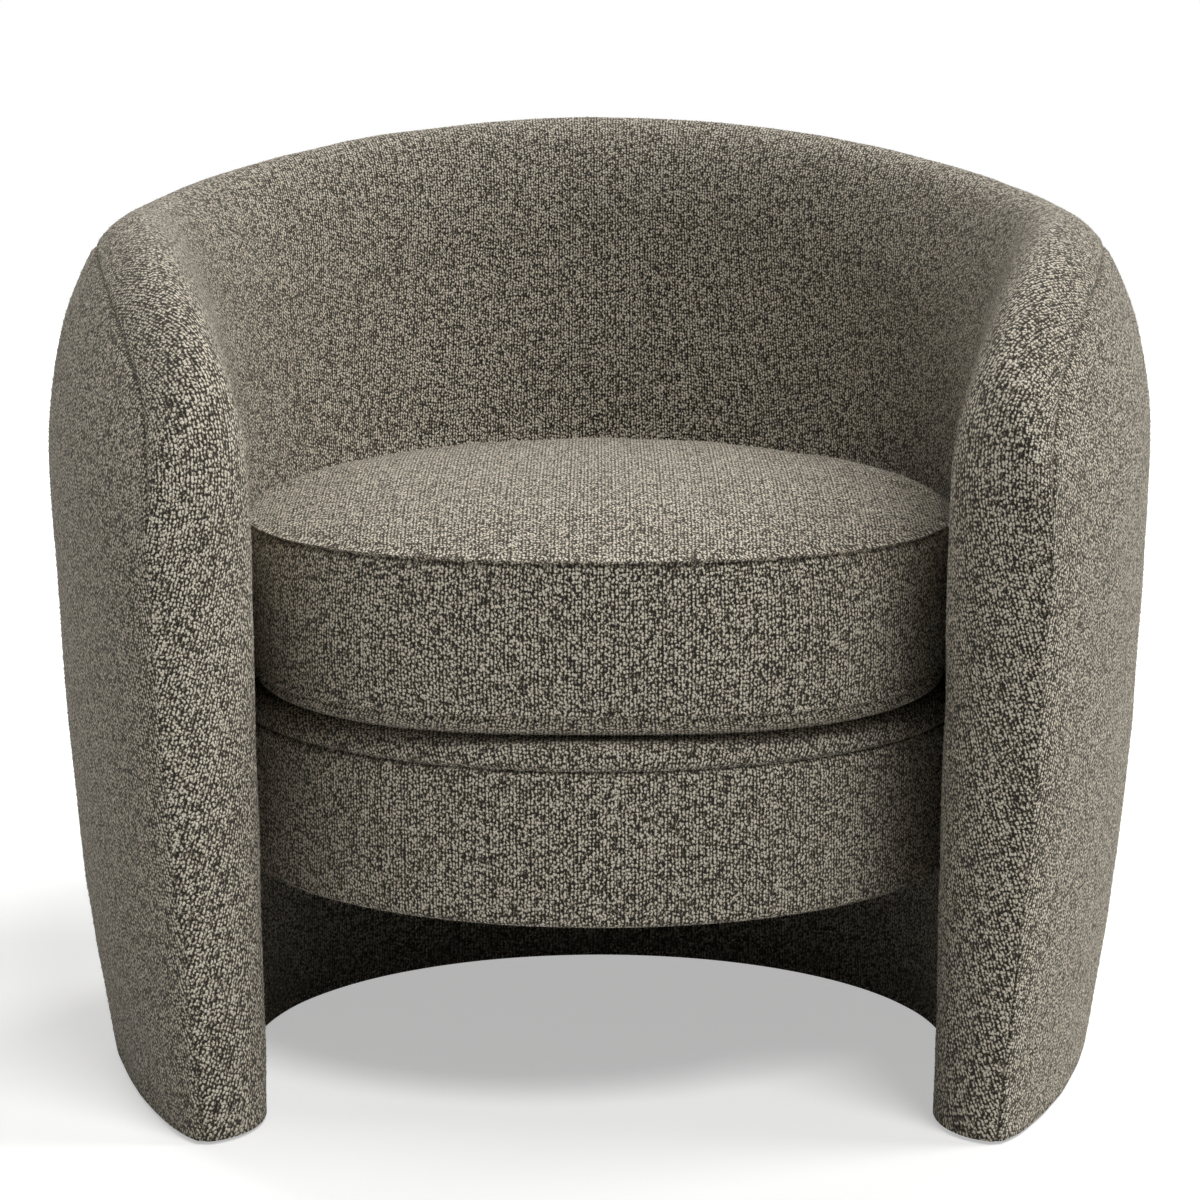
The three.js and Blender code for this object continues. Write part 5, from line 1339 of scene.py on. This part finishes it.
# %% Scatter over the cloth
def scatter_tree():
    """Sets the loop on chance points of a cloth, no two nearer than the spacing."""
    tree = new_node_group("standing_loops", {
        "Cloth": "Geometry", "Loop": "Object", "Spacing": "Float", "Density": "Float", "Smallest": "Float",
        "Largest": "Float", "Seed": "Int", "Yarn": "Material"})
    given = add_node(tree, "NodeGroupInput")
    spread = add_node(tree, "GeometryNodeDistributePointsOnFaces", {"distribute_method": "POISSON"}, {
        "Mesh": (given, "Cloth"), "Distance Min": (given, "Spacing"), "Density Max": (given, "Density"),
        "Seed": (given, "Seed")})
    size = add_node(tree, "FunctionNodeRandomValue", {"data_type": "FLOAT"}, {
        2: (given, "Smallest"), 3: (given, "Largest"), "Seed": (given, "Seed")})
    spin = add_node(tree, "FunctionNodeRandomValue", {"data_type": "FLOAT_VECTOR"}, {
        0: (-0.7, -0.7, -3.1), 1: (0.7, 0.7, 3.1), "Seed": (given, "Seed")})
    shade = add_node(tree, "FunctionNodeRandomValue", {"data_type": "FLOAT"}, {
        2: 0.0, 3: 0.75, "Seed": (given, "Seed")})
    shape = add_node(tree, "GeometryNodeObjectInfo", inputs={"Object": (given, "Loop")})
    stand = add_node(tree, "GeometryNodeInstanceOnPoints", inputs={
        "Points": (spread, "Points"), "Instance": (shape, "Geometry"), "Rotation": (spread, "Rotation"),
        "Scale": (size, 1)})
    tilt = add_node(tree, "GeometryNodeRotateInstances", inputs={
        "Instances": (stand, "Instances"), "Rotation": (spin, 0)})
    tone = add_node(tree, "GeometryNodeStoreNamedAttribute", {"data_type": "FLOAT", "domain": "INSTANCE"}, {
        "Geometry": (tilt, "Instances"), "Name": "shade", "Value": (shade, 1)})
    real = add_node(tree, "GeometryNodeRealizeInstances", inputs={"Geometry": (tone, "Geometry")})
    finish = add_node(tree, "GeometryNodeSetMaterial", inputs={
        "Geometry": (real, "Geometry"), "Material": (given, "Yarn")})
    out = add_node(tree, "NodeGroupOutput")
    tree.links.new(finish.outputs["Geometry"], out.inputs["Result"])
    return tree


yarn = loop_yarn("pale_loop_yarn")
LOOP_SIZES = (0.0007, 0.0013)  # half length of the smallest and the largest loop
LOOP_DENSITY = 40000.0  # tries for each square metre; those nearer than the spacing are dropped
loop_points = [(1, 0, 0), (-1, 0, 0), (0, 0.62, 0), (0, -0.62, 0), (0, 0, 0.72), (0, 0, -0.5)]
loop_faces = [(0, 2, 4), (2, 1, 4), (1, 3, 4), (3, 0, 4), (2, 0, 5), (1, 2, 5), (3, 1, 5), (0, 3, 5)]
loop_shape = new_piece("loop", loop_points, loop_faces)
scatter = scatter_tree()


def visible_side(piece, name, test):
    """A copy of the cloth with only the faces that can be seen, to scatter on."""
    mesh = piece.data
    keep = [f for f in mesh.polygons if test(f)]
    used = sorted({v for f in keep for v in f.vertices})
    place = {v: k for k, v in enumerate(used)}
    points = [tuple(mesh.vertices[v].co) for v in used]
    return new_piece(name, points, [[place[v] for v in f.vertices] for f in keep])


def standing_loops(piece, name, spacing, seed, test):
    """Loops on the visible faces of a cloth, as one plain mesh."""
    holder = visible_side(piece, name, test)
    return bake_nodes(holder, scatter, {
        "Loop": loop_shape, "Spacing": spacing, "Density": LOOP_DENSITY, "Smallest": LOOP_SIZES[0],
        "Largest": LOOP_SIZES[1], "Seed": seed, "Yarn": yarn})


def face_of_cover(piece):
    """A test for the visible side of a wall cover: the first half of its faces, clear of the foot."""
    half = len(piece.data.polygons) * 0.498
    return lambda face: face.index < half and face.center.z > 0.008


def face_of_cushion(face):
    """True everywhere but on the underside."""
    return face.center.z > 0.292


def face_of_border(face):
    """True on the round front, but not on the rows that turn in under the drum."""
    outside = math.hypot(face.center.x, face.center.y - ROW_CENTRE) > SEAT_RADIUS - 0.006
    return face.normal.z > -0.5 and face.center.z > 0.15 and outside


loops = [
    standing_loops(inner_cover, "loops_inside", 0.0072, 1, face_of_cover(inner_cover)),
    standing_loops(outer_cover, "loops_outside", 0.0076, 2, face_of_cover(outer_cover)),
    standing_loops(cushion, "loops_cushion", 0.0066, 3, face_of_cushion),
    standing_loops(border, "loops_border", 0.0066, 4, face_of_border),
]
bpy.data.objects.remove(loop_shape)
print("standing loops:", sum(len(p.data.polygons) for p in loops), "faces")

# %% [markdown]
# ## Finishes of the frame
# The boards, posts, springs and fasteners keep their solids and take a finish each. The ribs stand at
# different angles, so each plywood pattern is turned until its plies lie along the rib's thickness.

# %% Finishes on the solids
RIB_TURNS = {
    "rib_back": 0, "rib_back_left": 45, "rib_back_right": -45, "rib_side_left": 90, "rib_side_right": 90,
    "rib_front_left": 90, "rib_front_right": 90,
}
FINISHES = {
    "glide": glide_plastic, "seat_post": post_pine, "spring": spring_steel, "spring_clip": zinc_plate,
    "seat_bolt": zinc_plate, "zip_slider": zip_metal, "inside_board": fibreboard,
    "outside_board": fibreboard, "front_board": fibreboard, "base_plate": flat_plywood,
    "middle_plate": flat_plywood, "top_plate": flat_plywood, "seat_ring": flat_plywood,
}
for name, node in frame["nodes"].items():
    if name in RIB_TURNS:
        turn = (math.radians(90), 0, math.radians(90 + RIB_TURNS[name]))
        finish = birch_plywood(f"birch_plywood_{name}", turn)
    else:
        found = [key for key in FINISHES if name.startswith(key)]
        finish = FINISHES[max(found, key=len)] if found else fibreboard
    node.data.materials.clear()
    node.data.materials.append(finish)
print("finishes on", len(frame["nodes"]), "solids")

# %% [markdown]
# ## Floor and light
# In the photograph the right sides and the tops are bright, the left sides dim, and under the seat it
# is nearly black. Four broad lamps give that: one from the right, one from higher up at the front right,
# and two from behind that draw the rim. Together they light a level white card just to white, so every
# colour renders about as written. The floor is pale paper: where it is seen directly it also glows
# a little, so that it reads as white and still shows the shadow.

# %% Lamps
SOFTNESS = 25  # degrees of sky that each lamp fills; more blurs its shadow


def lamp(name, energy, round_angle, height):
    """A distant lamp; the angles say where it stands: round from the front to the right, and up."""
    data = bpy.data.lights.new(name, "SUN")
    data.energy = energy
    data.angle = math.radians(SOFTNESS)
    around, up = math.radians(round_angle), math.radians(height)
    towards = Vector((math.sin(around) * math.cos(up), -math.cos(around) * math.cos(up), math.sin(up)))
    made = bpy.data.objects.new(name, data)
    made.rotation_euler = towards.to_track_quat("Z", "Y").to_euler()
    scene.collection.objects.link(made)


lamp("right", 1.25, 98, 46)
lamp("front_right", 1.45, 32, 57)
lamp("behind_left", 1.00, -150, 40)
lamp("behind_right", 0.85, 150, 40)

# %% World
def seen_directly(tree):
    """One for rays of the camera, of mirrors and through glass; zero for those that light the chair."""
    path = add_node(tree, "ShaderNodeLightPath")
    seen = add_node(tree, "ShaderNodeMath", {"operation": "MAXIMUM"}, {
        0: (path, "Is Camera Ray"), 1: (path, "Is Glossy Ray")})
    return add_node(tree, "ShaderNodeMath", {"operation": "MAXIMUM"}, {
        0: (seen, "Value"), 1: (path, "Is Transmission Ray")})


ROOM_LIGHT = 0.04  # the room looks white, but lights the chair only this much
world = bpy.data.worlds.new("studio")
scene.world = world
world.use_nodes = True
tree = world.node_tree
tree.nodes.clear()
seen = seen_directly(tree)
dim = add_node(tree, "ShaderNodeBackground", inputs={"Color": to_linear("#ffffff"), "Strength": ROOM_LIGHT})
white = add_node(tree, "ShaderNodeBackground", inputs={"Color": to_linear("#ffffff"), "Strength": 1.0})
mixed = add_node(tree, "ShaderNodeMixShader", inputs={
    0: (seen, "Value"), 1: (dim, "Background"), 2: (white, "Background")})
add_node(tree, "ShaderNodeOutputWorld", inputs={"Surface": (mixed, "Shader")})
print("world:", world.name)


# %% Floor
FLOOR_HALF, FLOOR_GLOW = 6, 0.45  # half its size in metres, and how much it glows where it is seen
floor_corners = [(FLOOR_HALF * x, FLOOR_HALF * y, 0) for x, y in ((-1, -1), (1, -1), (1, 1), (-1, 1))]
floor = new_piece("floor", floor_corners, [(0, 1, 2, 3)], smooth=False)
material, tree, output = new_material("white_paper_floor")
seen = seen_directly(tree)
place = add_node(tree, "ShaderNodeTexCoord")
paper = add_node(tree, "ShaderNodeTexNoise", inputs={"Vector": (place, "Object"), "Scale": 3.0})
ramp = add_node(tree, "ShaderNodeValToRGB", inputs={"Fac": (paper, "Fac")}, stops=[
    (0.3, "#dededd"), (0.7, "#e3e3e2")])
lit = add_node(tree, "ShaderNodeBsdfDiffuse", inputs={"Color": (ramp, "Color")})
glow_level = add_node(tree, "ShaderNodeMath", {"operation": "MULTIPLY"}, {
    0: (seen, "Value"), 1: FLOOR_GLOW})
glow = add_node(tree, "ShaderNodeEmission", inputs={"Strength": (glow_level, "Value")})
both = add_node(tree, "ShaderNodeAddShader", inputs={0: (lit, "BSDF"), 1: (glow, "Emission")})
tree.links.new(both.outputs["Shader"], output.inputs["Surface"])
floor.data.materials.append(material)
floor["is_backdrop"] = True
print("floor:", floor.name)

# %% [markdown]
# ## Riding on the bodies
# Every piece rides on the body that carries it, and the solids that it stands for are hidden.

# %% Ride and replace
def stands_for(piece, body, nodes, sheet=False):
    """Lets a piece ride on its body and hides the solids that it stands for; a sheet's area is worked out
    but not kept.
    """
    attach(piece, body)
    if nodes:
        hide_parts(*nodes)
    if sheet:
        size = np.array(piece.get("flat_size", list(piece.dimensions[:2])), float)
        area = piece.get("flat_area", sum(f.area for f in piece.data.polygons) / 2)
        min(float(area), float(size.prod()))


stands_for(inner_cover, "chair", ["inside_cover"], sheet=True)
stands_for(outer_cover, "chair", ["outside_cover"], sheet=True)
stands_for(foam_pieces[0], "chair", ["inside_foam_left"])
stands_for(foam_pieces[1], "chair", ["inside_foam_right"])
stands_for(wadding, "chair", ["outside_wadding"])
stands_for(border, "chair", ["border_cover", "border_foam"])
stands_for(deck, "chair", ["deck_cover", "deck_pad"])
stands_for(base_lining, "chair", ["base_lining"], sheet=True)
stands_for(dust_cover, "chair", ["dust_cover"], sheet=True)
stands_for(cushion, "cushion", [
    "cushion_core", "cushion_top_panel", "cushion_bottom_panel", "cushion_boxing"])
stands_for(zip_tape, "cushion", ["zip_tape"], sheet=True)
stands_for(zip_teeth, "cushion", ["zip_chain"])
for piece in (foot_staples, seat_staples, loops[0], loops[1], loops[3]):
    stands_for(piece, "chair", [])
stands_for(loops[2], "cushion", [])

# %% Print the sizes and finish
sizes = [[[float(v) for v in corner] for corner in box] for box in ((cad_low, cad_high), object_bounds())]
print("solids:", np.round(sizes[0], 4).tolist(), "dressed:", np.round(sizes[1], 4).tolist())
